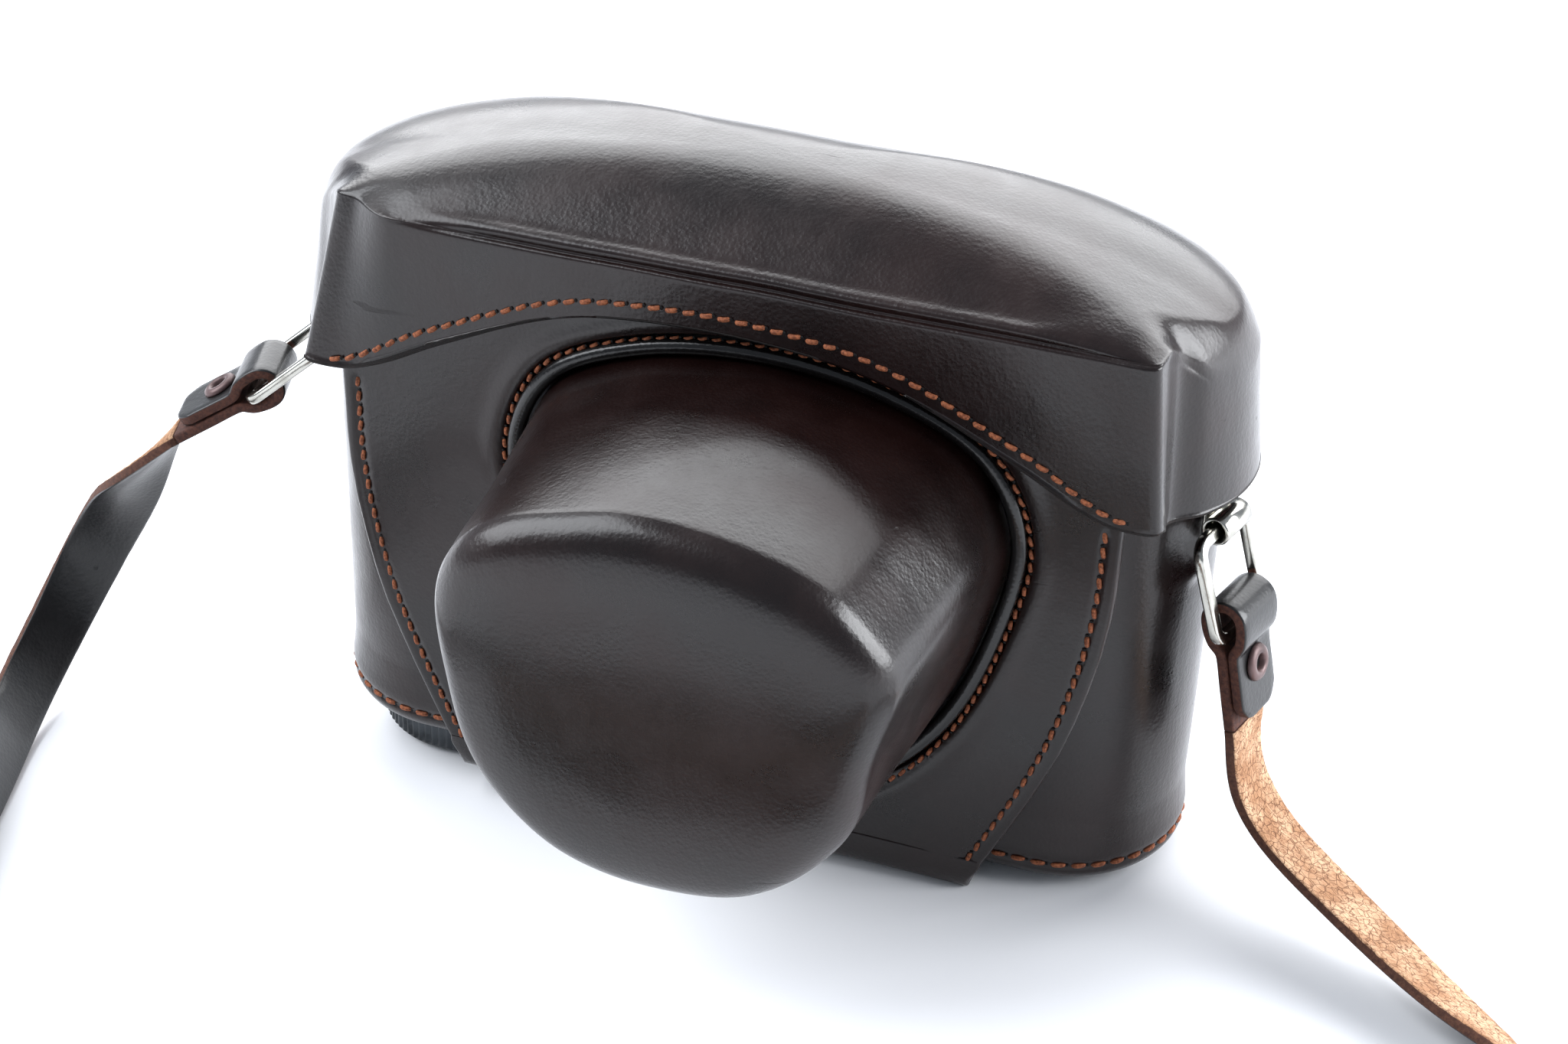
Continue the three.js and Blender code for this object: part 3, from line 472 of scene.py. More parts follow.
def strap_frame(side):
    """Axis, direction, normal and top of the fold round a ring's lower bar."""
    axis, fall, _, mid = ring_frame(side)
    out = hanger_frame(side)[1]
    a = math.radians(14 if side > 0 else 58)
    d = out * math.sin(a) - np.array([0, 0, math.cos(a)])
    n = out * math.cos(a) + np.array([0, 0, math.sin(a)])
    top = mid + RING["tall"] * fall - 2.3 * d + 0.2 * n
    return axis, d, n, top


print("top of the right fold:", np.round(strap_frame(1)[3], 1))


# %% Strap surface
def strap_path(name, side, steps):
    """Middle line, smooth side's direction, tangents and length of one half, in mm on the table."""
    axis, d, n, top = strap_frame(side)
    near = STRAP_T / 2 + GAP / 2
    start = [place(top - n * near + d * q) / MM for q in (18.9, 21.2)]
    turns = np.radians([90, 88] + [p[3] for p in STRAP_ROUTES[name]])
    lift = lambda t: 0.1 + STRAP_W / 2 * math.cos(t) + STRAP_T / 2 * abs(math.sin(t))
    route = [np.array([x, y, z or lift(turns[i + 2])])
             for i, (x, y, z, _) in enumerate(STRAP_ROUTES[name])]
    if name == "left":
        route[-1][0] += GAP
    points, at, length = even(start + route, steps + 1)
    tangents = np.gradient(points, axis=0)
    tangents[0] = turned(d)
    carried, faces = -turned(n), []
    for i, (u, t) in enumerate(zip(at, tangents)):
        t = unit(t)
        k = min(len(turns) - 2, int(u))
        turn = turns[k] + (turns[k + 1] - turns[k]) * float(smooth(0, 1, u - k))
        carried = unit(carried - t * carried.dot(t))
        inside = unit(np.cross(t, [0, 0, side]))
        up = unit(np.array([0, 0, 1]) - t * t[2])
        wanted = inside * math.cos(turn) - up * math.sin(turn)
        w = float(smooth(0, TURN_IN, length * i / steps))
        faces.append(unit(carried * (1 - w) + wanted * w))
    # Thick leather spreads its twist and its bends over the whole length that hangs free.
    faces = np.array(faces)
    run = np.linspace(0, length, steps + 1)[1:-1, None]
    ease = 0.45 * smooth(HANG_END, HANG_FREE, run) * smooth(0, 4, run)
    for turn in range(FACE_PASSES):
        faces[1:-1] += ease * (faces[:-2] + faces[2:] - 2 * faces[1:-1])
        if turn < LINE_PASSES:
            points[1:-1] += ease * (points[:-2] + points[2:] - 2 * points[1:-1])
    tangents = np.gradient(points, axis=0)
    tangents[0] = turned(d)
    tangents /= np.linalg.norm(tangents, axis=1)[:, None]
    faces -= tangents * np.sum(faces * tangents, axis=1)[:, None]
    faces /= np.linalg.norm(faces, axis=1)[:, None]
    length = float(np.linalg.norm(np.diff(points, axis=0), axis=1).sum())
    return points, faces, tangents, length


def strap_section(width, thick):
    """Outline with rounded edges as (across, through) pairs, from one lower corner round."""
    r, a, b = 0.45, width / 2, thick / 2
    corners = ((-a + r, -b + r, 180), (a - r, -b + r, 270), (a - r, b - r, 0), (-a + r, b - r, 90))
    pts = []
    for k, (x, y, start) in enumerate(corners):
        for j in range(4):
            q = math.radians(start + 30 * j)
            pts.append((x + r * math.cos(q), y + r * math.sin(q)))
        nx, ny = corners[(k + 1) % 4][:2]
        if k in (0, 2):
            pts += [(x + (nx - x) * s, y + (r if k == 2 else -r)) for s in np.linspace(0, 1, 9)[1:-1]]
    return np.array(pts)


def ribbon(name, points, dark, tangents, finishes, seed, rough=0.12):
    """A strap swept along points: the smooth side on the dark direction, the rough side opposite."""
    section = strap_section(STRAP_W, STRAP_T)
    rings = []
    for j, (p, f, t) in enumerate(zip(points, dark, tangents)):
        across = unit(np.cross(t, f))
        ring = p + section[:, :1] * across + section[:, 1:] * f
        for i, (a, b) in enumerate(section):
            where = Vector((ring[i] * 1.1 + seed).tolist())
            if b < -0.6:
                ring[i] -= f * rough * max(0.0, 0.3 + noise.noise(where))
            if b < 0.6 and abs(a) > STRAP_W / 2 - 0.7:
                ring[i] += across * math.copysign(rough * 0.8 * noise.noise(where * 0.7), a)
        ring[:, 2] = np.maximum(ring[:, 2], 0.03)
        rings.append(ring)
    columns, rows = len(section), len(rings)
    mids = (section + np.roll(section, -1, axis=0)) / 2
    kind = np.where(mids[:, 1] > 0.75, 0, np.where(mids[:, 1] < -0.75, 1, 2))
    faces = [list(f) for f in ring_faces(rows, columns)]
    which = np.tile(kind, rows - 1).tolist() + [2, 2]
    faces += [list(range(columns)), list(range((rows - 1) * columns, rows * columns))]
    return face_out(piece(name, np.concatenate(rings), faces, finishes, which, placed=True))


print("points round the strap's section:", len(strap_section(STRAP_W, STRAP_T)))

# %% Make both halves of the strap
strap_pieces = {}
for word, side in (("left", -1), ("right", 1)):
    line, dark, ways, length = strap_path(word, side, 430)
    finishes = [STRAP_GRAIN, STRAP_FLESH, STRAP_EDGE]
    strap = ribbon("neck_strap_" + word, line, dark, ways, finishes, 7.3 * side)
    strap_pieces[word] = strap, line, length
    print(word, "half is", round(length), "mm long, lowest point", round(float(line[:, 2].min()), 1))

# %% [markdown]
# ## The straps in place
# A strap's first few centimetres swing with its ring, and the rest lies still. Here each half is only
# baked into place on the table and stands in for the model's strap.

for word, side in (("left", -1), ("right", 1)):
    strap, line, length = strap_pieces[word]
    "swivel_" + word
    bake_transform(strap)
    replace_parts(strap, "strap_" + word)
    [float(q) for q in line[0] * MM]
    length * MM
    "strap_fold_" + word
    "eyelet_" + word
    "ring_" + word
    [[float(q) for q in p * MM] for p in line]

# %% [markdown]
# ## Lower half
# The wall is one skin that starts on its inner face, goes over the rounded top edge, down the outside,
# past the groove where the sole is sewn on, and under the rim. The front is cut away for the lens.

# %% Outline of the lower half
NOSE_X, NOSE_MID, SEAM_Z, RIM, LINING = 7.2, 50.0, 3.8, 7.0, 0.8
WALL_TOP_FRONT, WALL_TOP_BACK = 74.0, 70.0
CUT_HALF, STEP = 29.0, 0.02
FRONT_X = np.unique(np.round(np.r_[np.linspace(-END_X, END_X, 91), [
    NOSE_X + side * CUT_HALF + step for side in (-1, 1) for step in (-STEP, STEP)]], 3))


def stadium(offset, arc=56):
    """Outline of the lower half grown by offset, from the left front corner, anticlockwise."""
    r = WALL_R + offset
    a = np.linspace(-math.pi / 2, math.pi / 2, arc + 1)
    back = np.linspace(END_X, -END_X, 48)[1:-1]
    end = np.stack([END_X + r * np.cos(a), r * np.sin(a)], 1)
    other = np.stack([-END_X - r * np.cos(a), -r * np.sin(a)], 1)
    front = np.stack([FRONT_X[1:-1], np.full(len(FRONT_X) - 2, -r)], 1)
    rear = np.stack([back, np.full(len(back), r)], 1)
    return np.vstack([front, end, rear, other])


def wall_top(xy, grow=0.0):
    """Height of the top edge: lower at the back, and cut down in front to let the lens through."""
    x, y = xy[:, 0], xy[:, 1]
    top = WALL_TOP_FRONT + (WALL_TOP_BACK - WALL_TOP_FRONT) * smooth(-2, 5, y)
    near = np.abs(x - NOSE_X)
    cut = np.interp(near, [0, 15 + grow / 2, 25 + grow, CUT_HALF + grow], [20.5 - grow, 24 - grow, 33, 44])
    return np.where((near < CUT_HALF + grow) & (y < -8), cut, top)


def wall_rings(offsets, foot, top_drop=0.0, grow=0.0, steps=60):
    """Closed rings of a shell: up the inside, over the top edge, down the outside to the foot."""
    inner, outer = offsets
    r = min(0.8, (outer - inner) / 2 - 0.02)
    ring = lambda o, z: np.column_stack([stadium(o), np.broadcast_to(z, len(stadium(0)))])
    top = wall_top(stadium(0), grow) - top_drop
    rings = [ring(inner, foot + (top - r - foot) * t) for t in np.linspace(0, 1, 14)]
    for q in np.radians([30, 60, 90]):
        rings.append(ring(inner + r - r * math.cos(q), top - r + r * math.sin(q)))
    for q in np.radians([90, 60, 30, 0]):
        rings.append(ring(outer - r + r * math.cos(q), top - r + r * math.sin(q)))
    low = foot if steps < 10 else 12.0
    rings += [ring(outer, low + (top - r - low) * t) for t in np.linspace(1, 0, steps)[1:]]
    return rings


print("points round the wall:", len(stadium(0)))

# %% Wall
rings = wall_rings((-LEATHER, 0.0), 2.2)
profile, _, _ = even([[0, 12], [0.35, 8], [0.65, 5.4], [0.65, 2.9], [-0.5, 0.9], [-2.8, 0.1], [-5, 0]], 44)
for o, z in profile[1:]:
    groove = 0.5 * math.exp(-((z - SEAM_Z) / 0.75) ** 2)
    rings.append(np.column_stack([stadium(o - groove), np.full(len(stadium(0)), z)]))
rings += [np.column_stack([stadium(o), np.full(len(stadium(0)), z)]) for o, z in ((-RIM, 0), (-RIM, 2.2))]
# The outside is uneven by hand, and a small oval boss stands out under the right ring.
for k, ring in enumerate(rings):
    x, y, z = ring.T
    if 14 < k < len(rings) - 2:
        away = np.hypot(np.maximum(np.abs(x) - END_X, 0), y)
        nx, ny = np.sign(x) * np.maximum(np.abs(x) - END_X, 0) / away, y / away
        angle = np.degrees(np.arctan2(y, x - END_X))
        boss = 1.3 * np.exp(-(((angle + 25.5) / 6.5) ** 2 + ((z - 59.6) / 4.2) ** 2) ** 2) * (x > END_X)
        soft = 0.22 * np.array([noise.noise(Vector((a / 16, b / 16, c / 22))) for a, b, c in ring])
        ring[:, 0] += nx * (boss + soft)
        ring[:, 1] += ny * (boss + soft)
wall = skin("half_case_wall_look", rings, [LEATHER_DARK, DARK_EDGE], closed_rows=True)
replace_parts(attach(wall, "half_case"), "half_case_wall")
lining_offset = (-LEATHER - GAP - LINING, -LEATHER - GAP)
lining = skin("wall_lining_look", wall_rings(lining_offset, 2.5, 2.0, 1.5, 6), [VELVET], closed_rows=True)
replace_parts(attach(lining, "half_case"), "wall_lining")
print("wall faces:", len(wall.data.polygons))

# %% [markdown]
# ## Front flap and nose
# The flap is a flat panel with a hole. Rays from the middle of the nose meet the hole and the outer edge,
# and rows between them make an even grid that can carry the groove of each seam.

# %% Outlines seen from the front
FLAP_OUT, FLAP_IN, NOSE_TIP, NOSE_RIM_Y, RIM_SLIP = -24.9, -22.5, -72.0, -66.0, -0.8


def mirrored(half):
    return np.array(half + [(-x, z) for x, z in half[1:-1][::-1]], float)


OPENING = mirrored([(0, 87), (19, 84.4), (33, 77.5), (38.8, 66), (36.5, 49), (29, 30), (17, 17.5),
                    (0, 12.5)])
SEAM = mirrored([(0, 90), (20, 87.2), (36, 79.3), (42.4, 65), (39.8, 48.5), (31.8, 27.4), (18.7, 12.9),
                 (0, 8)])
NOSE_FRONT = mirrored([(0, 84), (14, 82.3), (27.2, 76.5), (33.9, 66), (33, 51), (28.2, 35.3), (15.8, 23.4),
                       (0, 20.2)]) + [RIM_SLIP, 0]
FLAP_EDGE = [(2.6, 46), (5.4, 47.4), (10.8, 49.9), (17.3, 52.8), (23, 55.1), (29, 57.3), (35, 59),
             (41.4, 60.5), (48.2, 61.8), (55, 62.6), (60, 62.9), (76, 63)]
FLAP_TOP = [(58, 79.2), (50, 83.8), (43, 87.6), (35, 91.2), (26, 94.6), (14, 96.9), (0, 97.6)]
ARCH = [(0, 92), (16.5, 91), (22.5, 90), (28.5, 88.2), (35, 85.5), (42, 82.2), (48.6, 79), (56.6, 74.8),
        (62, 72.9), (67, 72.7)]


def outline_at(points, grow, count=360):
    """Smooth outline grown about the middle of the nose, as x and z."""
    p = curve_at(points, np.arange(count) / count * len(points), True) - [0, NOSE_MID]
    r = np.linalg.norm(p, axis=1)[:, None]
    return p * (r + grow) / r + [NOSE_X, NOSE_MID]


def radius_of(outline, angles):
    """Distance from the middle of the nose to a closed outline in each direction."""
    p = np.asarray(outline, float) - [NOSE_X, NOSE_MID]
    a, r = np.arctan2(p[:, 1], p[:, 0]), np.linalg.norm(p, axis=1)
    order = np.argsort(a)
    a, r = a[order], r[order]
    return np.interp(angles, np.r_[a - 2 * math.pi, a, a + 2 * math.pi], np.r_[r, r, r])


edge_x = lambda z: np.interp(z, [p[0] for p in FLAP_EDGE], [p[1] for p in FLAP_EDGE])
half = [(x, z) for z, x in FLAP_EDGE] + FLAP_TOP
flap_line = np.array(half + [(-x, z) for x, z in half[:-1][::-1]], float)
dense = np.vstack([a + (b - a) * np.linspace(0, 1, 40)[:-1, None]
                   for a, b in zip(flap_line, np.roll(flap_line, -1, axis=0))])
corners = np.arctan2(flap_line[[0, -1], 1] - NOSE_MID, flap_line[[0, -1], 0] - NOSE_X)
angles = np.sort(np.r_[np.linspace(-math.pi, math.pi, 560, endpoint=False), corners])
hole_r, flap_r = radius_of(outline_at(OPENING, 3.4), angles), radius_of(dense, angles)
seam_r = radius_of(outline_at(SEAM, 0), angles)
print("flap rays:", len(angles))

# %% Flap
EDGE_R = 0.7
ways = np.stack([np.cos(angles), np.sin(angles)], 1)


def flap_ring(t, y, inset=0.0):
    """One ring of the flap, from the hole at 0 to the outer edge at 1, with grooves under the seams."""
    r = hole_r + inset + (flap_r - hole_r - 2 * inset) * t
    xz = ways * r[:, None] + [NOSE_X, NOSE_MID]
    sew = 0.4 * np.exp(-((r - seam_r) / 0.8) ** 2)
    low = smooth(72, 68, xz[:, 1])
    sew += 0.4 * low * np.exp(-((np.abs(xz[:, 0]) - edge_x(xz[:, 1]) + 2.6) / 0.7) ** 2)
    bulge = 0.35 * np.exp(-((r - seam_r - 2.2) / 1.6) ** 2)
    soft = np.array([0.16 * noise.noise(Vector((a / 14, b / 14, 3.0))) for a, b in xz])
    face = sew - bulge + soft if y < -23.7 else 0 * soft
    return np.column_stack([xz[:, 0], y + face, xz[:, 1]])


rounds = [(EDGE_R * (1 - math.cos(q)), EDGE_R * (1 - math.sin(q))) for q in QUARTER]
rows = [flap_ring(t, FLAP_OUT, EDGE_R) for t in np.linspace(0, 1, 52)]
rows += [flap_ring(1, FLAP_OUT + a, b) for a, b in rounds[1:]]
rows += [flap_ring(1, FLAP_IN - b, a) for a, b in rounds]
rows += [flap_ring(t, FLAP_IN, EDGE_R) for t in np.linspace(1, 0, 10)]
rows += [flap_ring(0, y, 0) for y in (FLAP_IN - EDGE_R, FLAP_OUT + EDGE_R)]
flap = skin("front_flap_look", rows, [LEATHER_DARK], closed_rows=True)
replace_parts(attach(flap, "front"), "front_flap")
print("flap faces:", len(flap.data.polygons))

# %% [markdown]
# ## The bend under the base
# When the case opens, the front folds down about this bend, so it is the hinge. Two rigid pieces would
# part here. The bend is one swept skin, baked into place as it stands.

# %% The bend, and the tongue under the base
bend_out = [(-24.9, 4.4), (-24.95, 2.6), (-24.9, 0.6), (-24.4, -1.2), (-23.2, -2.3), (-21.4, -2.5),
            (-19, -2.5)]
bend_in = [(-19, -0.45), (-21.2, -0.4), (-22.2, -0.1), (-22.55, 1.0), (-22.6, 2.6), (-22.5, 4.4)]
section = np.vstack([even(bend_out, 26)[0], even(bend_in, 18)[0]])
mid = section.mean(axis=0)
rows = []
for s in np.r_[-1, -0.997, np.linspace(-0.99, 0.99, 60), 0.997, 1]:
    tight = 0.72 if abs(s) == 1 else 0.94 if abs(s) > 0.995 else 1.0
    half_width = TONGUE_HALF + 2.0 * smooth(-1, 3.5, section[:, 1])
    yz = mid + (section - mid) * [tight, 1.0] if tight < 1 else section
    rows.append(np.column_stack([s * half_width, yz]))
bend = skin("flap_bend", rows, [LEATHER_DARK], caps=True)
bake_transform(bend)


def slab(name, outline, z0, z1, finish):
    """Flat piece with rounded edges between two heights."""
    line = even(outline, 160, True)[0]
    mid = line.mean(axis=0)
    size = np.abs(line - mid).max()
    steps = [(0.5, z0), (1 - EDGE_R / size, z0)]
    steps += [(1 - b / size, z0 + a) for a, b in rounds[1:]]
    steps += [(1 - a / size, z1 - b) for a, b in rounds]
    steps += [(0.5, z1)]
    rows = [np.column_stack([mid + (line - mid) * k, np.full(len(line), z)]) for k, z in steps]
    return skin(name, rows, [finish], caps=True)


tongue_half = [(44.4, -21.4), (44, -19), (41.5, -13), (37, -4), (33, 5), (30.5, 7.9), (27, 8.6), (12, 8.6)]
tongue_line = tongue_half + [(-x, y) for x, y in tongue_half[::-1]] + [(-20, -21.4), (20, -21.4)]
tongue = slab("flap_tongue_look", tongue_line, -TONGUE_T - GAP, -GAP, LEATHER_DARK)
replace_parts(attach(tongue, "half_case"), "flap_tongue")
print("bend and tongue faces:", len(bend.data.polygons), len(tongue.data.polygons))

# %% [markdown]
# ## Nose
# The nose is leather pressed over a wooden form, with a rounded rim and a nearly flat front. Two outlines,
# one at the flap and one at the rim, are joined ring by ring, and the front is a set of shrinking copies.
# A little noise and a soft ridge keep it from looking turned on a lathe.


# %% Nose
SHALLOW = 0.35


def nose_surface(inset, rows_side=44, rows_face=44):
    """Rings from the flap to the middle of the front."""
    a, b = outline_at(OPENING, -inset), outline_at(NOSE_FRONT, -inset)
    tip, rim, root = NOSE_TIP + inset, NOSE_RIM_Y + inset * 0.4, FLAP_IN - 0.6
    rings = []
    for s in np.linspace(0, 1, rows_side):
        xz = a + (b - a) * s
        y = root + (rim - root) * s
        rings.append(np.column_stack([xz[:, 0], np.full(len(a), y), xz[:, 1]]))
    # The front's profile is spaced evenly with its depth scaled down, as the front is wide and shallow.
    shape = [(1.012, -0.6), (1, 0), (0.965, 0.4), (0.9, 0.68), (0.78, 0.85), (0.5, 0.97), (0.2, 1),
             (0.02, 1.0)]
    for k, d in even([(k, d * SHALLOW) for k, d in shape], rows_face)[0]:
        if d <= 0:
            continue
        d = d / SHALLOW
        xz = [NOSE_X, NOSE_MID] + (b - [NOSE_X, NOSE_MID]) * k
        rings.append(np.column_stack([xz[:, 0], np.full(len(b), rim + (tip - rim) * d), xz[:, 1]]))
    return rings


def nose_wear(rings):
    """The soft ridge down the right flank, a slightly hollow front and hand made unevenness."""
    for ring in rings:
        x, y, z = ring.T
        angle = np.degrees(np.arctan2(z - NOSE_MID, x - NOSE_X))
        out = np.stack([x - NOSE_X, z - NOSE_MID], 1)
        r = np.linalg.norm(out, axis=1)
        flank = smooth(-26, -40, y) * smooth(-71, -64, y)
        ridge = 1.1 * np.exp(-((angle - 24) / 9) ** 2) - 0.9 * np.exp(-((angle - 2) / 15) ** 2)
        ridge = ridge * flank
        soft = 0.3 * np.array([noise.noise(Vector((p / 13).tolist())) for p in ring])
        push = (ridge + soft * smooth(4, 12, r))[:, None] * out / np.maximum(r, 1)[:, None]
        ring[:, 0] += push[:, 0]
        ring[:, 2] += push[:, 1]
        ring[:, 1] += 0.35 * soft * smooth(30, 15, r)
    return rings


def nose_shell(inset, thick, flange):
    """Rings of a closed shell, from the middle of its front back to the flap and in again."""
    outer, inner = nose_surface(inset), nose_surface(inset + thick, 16, 16)
    rows = (nose_wear(outer) if flange else outer)[::-1]
    if flange:
        near = FLAP_IN + GAP
        flat = lambda grow, y, base=OPENING: np.insert(outline_at(base, grow), 1, y, axis=1)
        rows += [flat(0, near), flat(2.5, near, SEAM), flat(3, near + 0.3, SEAM), flat(3, near + 0.8, SEAM),
                 flat(2.6, near + 1, SEAM), flat(-thick, near + 1)]
    return rows + inner


nose = skin("nose_cup_look", nose_shell(0, LEATHER - 0.2, True), [LEATHER_DARK], caps=True)
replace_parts(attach(nose, "front"), "nose_cup")
inside = skin("nose_lining_look", nose_shell(LEATHER - 0.2 + GAP, LINING, False), [VELVET], caps=True)
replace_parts(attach(inside, "front"), "nose_lining")
print("nose faces:", len(nose.data.polygons))

# %% [markdown]
# ## Piping
# A glossy cord lies in the angle between the nose and the flap. A curve with a round bevel would do as
# well. The same rings as elsewhere keep every piece a plain mesh.


# %% The cord round the nose
def cord_ring(name, line, radius, finish, sides=20):
    """A closed tube round a line that lies flat in x and z."""
    ways = np.roll(line, -1, axis=0) - np.roll(line, 1, axis=0)
    rings = []
    for p, t in zip(line, ways):
        t = unit(t)
        side = unit(np.cross(t, [0, 1, 0]))
        up = np.cross(side, t)
        q = np.linspace(0, 2 * math.pi, sides, endpoint=False)[:, None]
        rings.append(p + radius * (np.cos(q) * side + np.sin(q) * up))
    return skin(name, rings, [finish], closed_rows=True)


piping_line = np.insert(outline_at(OPENING, 1.75, 420), 1, FLAP_OUT + 0.35, axis=1)
piping = cord_ring("nose_piping_look", piping_line, 1.35, PIPING)
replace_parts(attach(piping, "front"), "nose_piping")
print("piping faces:", len(piping.data.polygons))

# %% [markdown]
# ## Cover
# The cover's rings go from the cut lower edge up to a crease and on over the dome. At the front corners
# the leather is pinched into ridges, which fade out above the crease.

# %% Cover surface
COVER_R, COVER_EDGE, COVER_FRONT_Y, COVER_TOP, CREASE_Z = 25.0, 70.6, -27.5, 110.6, 101.0
SPRING_Z, SLOPE, DOME_HALF, DOME_DEEP = 91.5, 0.56, 75.6, 40.0
arch_line = even([(-x, z) for x, z in ARCH[:0:-1]] + ARCH, 400)[0]
arch = lambda x: np.interp(x, arch_line[:, 0], arch_line[:, 1])


def cover_ring(up, inset, per=7):
    """Outline of the cover at its lower edge (up 0) or its shoulder (up 1), with the pinched corners."""
    r = COVER_R - 2.6 * up - inset
    fy = COVER_FRONT_Y + inset
    px = 67 - 3 * up - inset * 1.3
    half = [(px * i / 10, fy) for i in range(11)] + [(px + 1.5, fy + 0.7), (px + 2.0, fy + 3.0)]
    half += [(END_X + r * math.cos(a), r * math.sin(a)) for a in np.radians(np.linspace(-52, 90, 11))]
    half += [(END_X * 0.6, r), (END_X * 0.25, r)]
    points = half + [(-x, y) for x, y in half[:0:-1]]
    ring = curve_at(points, np.arange(len(points) * per) / per, True)
    left = (0.75 * up * smooth(-52, -62, ring[:, 0]) * smooth(-12, -20, ring[:, 1]))[:, None]
    return ring + (round_end(ring, r) - ring) * left


def round_end(xy, r):
    """The same ring without ridges: each point moved onto a plain stadium."""
    x, y = xy[:, 0], xy[:, 1]
    over = np.maximum(np.abs(x) - END_X, 0)
    far = np.hypot(over, y)
    return np.stack([np.sign(x) * (np.minimum(np.abs(x), END_X) + r * over / far), r * y / far], 1)


def cover_height(xy, k, inset):
    """Height of the dome: an arch from end to end, less where the flat slope behind the crease is lower."""
    x, y = np.abs(xy[:, 0]) / (DOME_HALF - inset), -xy[:, 1] / (DOME_DEEP - inset)
    fore = (x ** 5 + np.maximum(y, 0) ** 5) ** 0.2
    gauge = np.clip(k + (fore - k) * smooth(0, 8, -xy[:, 1]), 0, 1)
    arched = SPRING_Z + (COVER_TOP - SPRING_Z) * np.sqrt(1 - gauge ** 2.15) - inset
    slope = CREASE_Z + SLOPE * (xy[:, 1] - COVER_FRONT_Y) - inset
    gap = np.maximum(4.0 - np.abs(arched - slope), 0) / 4.0
    return np.minimum(arched, slope) - gap ** 2


def cover_edge_z(xy, inset):
    """Height of the cut lower edge: the arch over the nose in front, level at the ends and the back."""
    over_nose = arch(xy[:, 0])
    return over_nose + (COVER_EDGE - over_nose) * smooth(-26.4 + inset, -21, xy[:, 1])


def cover_surface(inset, low_rows, dome_rows, crease=1.0):
    """Rings from the lower edge up the sides, over the shoulder and on to the top."""
    edge, shoulder = cover_ring(0, inset), cover_ring(1, inset)
    plain = round_end(shoulder, 22.4 - inset)
    ridge = smooth(50, 63, np.abs(shoulder[:, 0])) * smooth(-14, -26, shoulder[:, 1])
    front = smooth(12, 21, -shoulder[:, 1])
    z0 = cover_edge_z(edge, inset)
    side = 89 + 2.5 * smooth(-6, 6, shoulder[:, 1])
    z1 = side + (CREASE_Z - side) * smooth(8, 23, -shoulder[:, 1]) - inset
    rings = []
    strength = crease * front * smooth(-56, -34, shoulder[:, 0])

    def crease_on(ring, d):
        dent = 0.9 * np.exp(-(d / 0.6) ** 2) - 0.5 * np.exp(-((d - 1.7) / 1.0) ** 2)
        ring[:, 1] += strength * dent
        ring[:, 2] -= strength * 0.55 * dent
        return ring

    for v in low_rows:
        xy = edge + (shoulder - edge) * v
        rings.append(crease_on(np.column_stack([xy, z0 + (z1 - z0) * v]), (v - 1) * (z1 - z0)))
    for k in dome_rows:
        w = float(smooth(1.0, 0.84, k))
        outline = shoulder + (plain - shoulder) * (w * ridge)[:, None]
        xy = outline * k
        height = cover_height(xy, k, inset)
        start = 0.95 - 0.06 * smooth(-2, -20, xy[:, 1]) * smooth(36, 56, np.abs(xy[:, 0]))
        rise = np.sqrt(1 - np.clip((k - start) / (1 - start), 0, 1) ** 2)
        z = z1 + (height - z1) * rise
        rings.append(crease_on(np.column_stack([xy, z]), np.full(len(xy), (1 - k) * -COVER_FRONT_Y)))
    return rings


print("points round the cover:", len(cover_ring(0, 0)))

# %% Cover shell
low = np.r_[np.linspace(0.03, 0.86, 26), np.linspace(0.88, 1, 16)]
dome = np.r_[np.linspace(0.995, 0.9, 20), np.linspace(0.88, 0.02, 46)]
rings = cover_surface(0, low, dome)
edge_in, edge_out = cover_ring(0, LEATHER - 0.1), cover_ring(0, 0)
z0 = cover_edge_z(edge_out, 0)
lip = [np.column_stack([edge_out + (edge_in - edge_out) * t, z0 + lift])
       for t, lift in ((1, 0.5), (0.85, 0.05), (0.6, -0.05), (0.3, 0.0), (0.1, 0.25), (0.0, 0.7))]
inner_dome = np.r_[0.97, 0.93, 0.88, np.linspace(0.8, 0.02, 12)]
inner = cover_surface(LEATHER - 0.1, np.linspace(0.05, 1, 10), inner_dome, 0)
for ring in rings:
    soft = 0.2 * np.array([noise.noise(Vector((p / 15).tolist())) for p in ring])
    ring[:, 1] += soft
    ring[:, 2] += soft * 0.6
finish = [0] * (len(inner) - 1) + [1] * (len(lip) + 1) + [0] * (len(rings) - 1)
cover = skin("cover_shell_look", inner[::-1] + lip + rings, [LEATHER_DARK, DARK_EDGE], finish, caps=True)
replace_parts(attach(cover, "front"), "cover_shell")


def cover_lining():
    """Velvet inside the cover, kept behind the flap where the flap stands inside the cover."""
    low, dome = np.linspace(0.06, 1, 10), np.r_[0.95, np.linspace(0.88, 0.02, 12)]
    rows_out, rows_in = (cover_surface(inset, low, dome, 0) for inset in (LEATHER + 0.6, LEATHER + 1.4))
    for rows in (rows_out, rows_in):
        for ring in rows:
            ring[:, 1] = np.maximum(ring[:, 1], np.where(ring[:, 2] < 99, FLAP_IN + GAP, -99))
    return skin("cover_lining_look", rows_out[::-1] + rows_in, [VELVET], caps=True)


inside = cover_lining()
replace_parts(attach(inside, "front"), "cover_lining")
print("cover faces:", len(cover.data.polygons))
